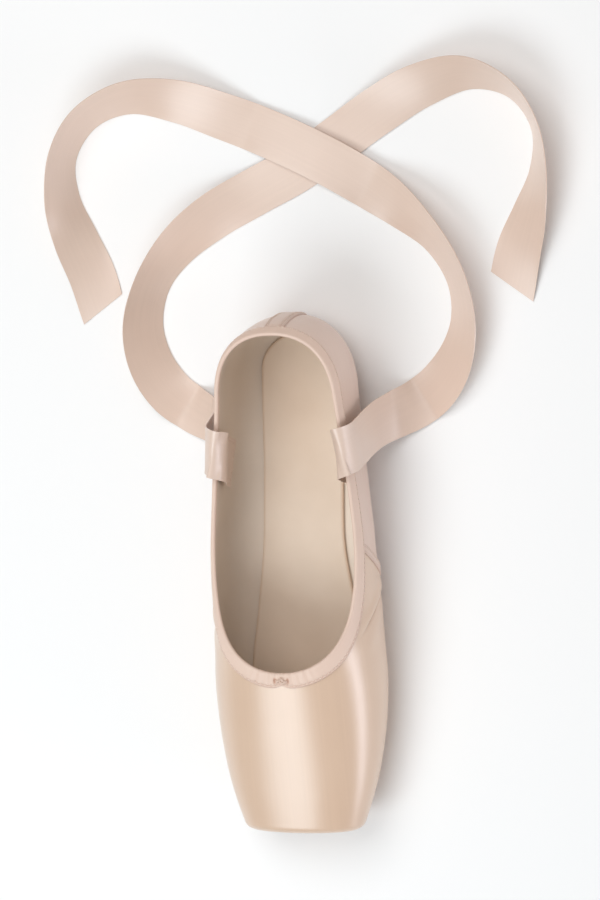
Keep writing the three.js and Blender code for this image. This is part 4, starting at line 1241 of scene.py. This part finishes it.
def make_insole():
    columns, _, _, share, outside = sole_grid(insole_outline, INSOLE_SPAN, 0.0)
    y = outside[..., 1]
    depth = wall_at(columns) + INSIDE_GAP
    inside = edge_distance(outside)
    dome = np.minimum(inside / 1.4, 1)
    crown = INSOLE_THICK * (0.55 + 0.45 * np.sqrt(np.clip(1 - (1 - dome) ** 2, 0, 1)))
    ripples = 0.08 * np.sin(columns / 9.0) * np.sin(y / 6.0 + columns / 31.0)
    top, bottom = (layer(columns, share, -deep) for deep in (depth + crown + ripples, depth))
    for grid in (top, bottom):
        grid[:, 0, 1] = 0
    print_mark = 0.2 * bump(columns, 44, 24) * bump(y, 0, 15) + 0.2 * bump(columns, 170, 26) * bump(y, 0, 20)
    # Foot print marks are real wear; the darkening along the edge is painted shade where the sock meets the
    # wall.
    soil_and_shade = np.clip(print_mark + 0.4 * (1 - smooth_step(0, 1.6, inside)), 0, 1)
    numbers = {"soil_and_shade": (soil_and_shade, soil_and_shade[:, -1], soil_and_shade), "along_mm": (columns, columns[:, -1], columns)}
    quads, values, ids = sole_body(top, bottom, 0.0, numbers, (0, 0, 0, 0))
    make_piece("sock", "insole", quads, (SOCK_CLOTH,), values, ids, INSOLE_CREASE_DEG)


make_outsole()
make_insole()


# Stage, light and camera, in metres where the name says no other unit
FLOOR_HALF = 4.0
WORLD_COLOUR = (1.0, 0.985, 0.97, 1.0)
WORLD_STRENGTH = 0.35
CAMERA_DIRECTION = Vector((-0.087, 0.259, 0.96)).normalized()
CAMERA_TARGET = Vector((-0.055, 0.0, 0.012))
CAMERA_DISTANCE = 1.5
CAMERA_ROLL_DEG = -1.7
FRAME_HEIGHT = 0.415
SENSOR_MM = 36.0
# Softboxes: name, place, aim, size, power, colour, spread in degrees
SOFTBOXES = (
    ("key", (0.66, -0.36, 1.02), (0.04, 0.0, 0.03), (0.9, 0.6), 7.8, (0.87, 0.95, 1.0), 180),
    ("fill", (0.79, 2.3, 0.3), (0.05, 0.0, 0.03), (1.6, 0.56), 2.3, (0.92, 0.92, 1.0), 60),
    ("top", (-0.55, -0.2, 1.15), (-0.2, 0.0, 0.0), (0.9, 0.9), 7.0, (1.0, 1.0, 1.0), 180),
)


def make_stage():
    shader = Shader("floor_paint", Roughness=0.75, Base_Color=srgb(250, 249, 248))
    mesh = bpy.data.meshes.new("floor")
    corners = [(x * FLOOR_HALF, y * FLOOR_HALF, 0) for x, y in ((-1, -1), (1, -1), (1, 1), (-1, 1))]
    mesh.from_pydata(corners, [], [(0, 1, 2, 3)])
    mesh.materials.append(shader.material)
    floor = add_object("floor", mesh)
    world = bpy.data.worlds.new("studio")
    world.use_nodes = True
    sky = world.node_tree.nodes["Background"].inputs
    sky["Color"].default_value = WORLD_COLOUR
    sky["Strength"].default_value = WORLD_STRENGTH
    bpy.context.scene.world = world
    bpy.context.scene.view_settings.view_transform = "Standard"


def make_softbox(name, place, aim, size, power, colour, spread_deg):
    light = bpy.data.lights.new(name, "AREA")
    light.shape = "RECTANGLE"
    light.size, light.size_y = size
    light.energy = power
    light.color = colour
    light.spread = math.radians(spread_deg)
    lamp = add_object(name, light)
    lamp.location = place
    lamp.rotation_euler = (Vector(aim) - Vector(place)).to_track_quat("-Z", "Y").to_euler()


def make_camera():
    camera = bpy.data.cameras.new("camera")
    camera.sensor_width = SENSOR_MM
    camera.lens = SENSOR_MM * CAMERA_DISTANCE / FRAME_HEIGHT
    camera.clip_end = 20
    eye = add_object("camera", camera)
    forward = -CAMERA_DIRECTION
    right = forward.cross(Vector((-1, 0, 0))).normalized()
    up = right.cross(forward)
    turn = math.radians(CAMERA_ROLL_DEG)
    right, up = right * math.cos(turn) + up * math.sin(turn), up * math.cos(turn) - right * math.sin(turn)
    facing = Matrix((right, up, -forward)).transposed().to_4x4()
    eye.matrix_world = Matrix.Translation(CAMERA_TARGET + CAMERA_DIRECTION * CAMERA_DISTANCE) @ facing
    bpy.context.scene.camera = eye


make_stage()
for softbox in SOFTBOXES:
    make_softbox(*softbox)
make_camera()
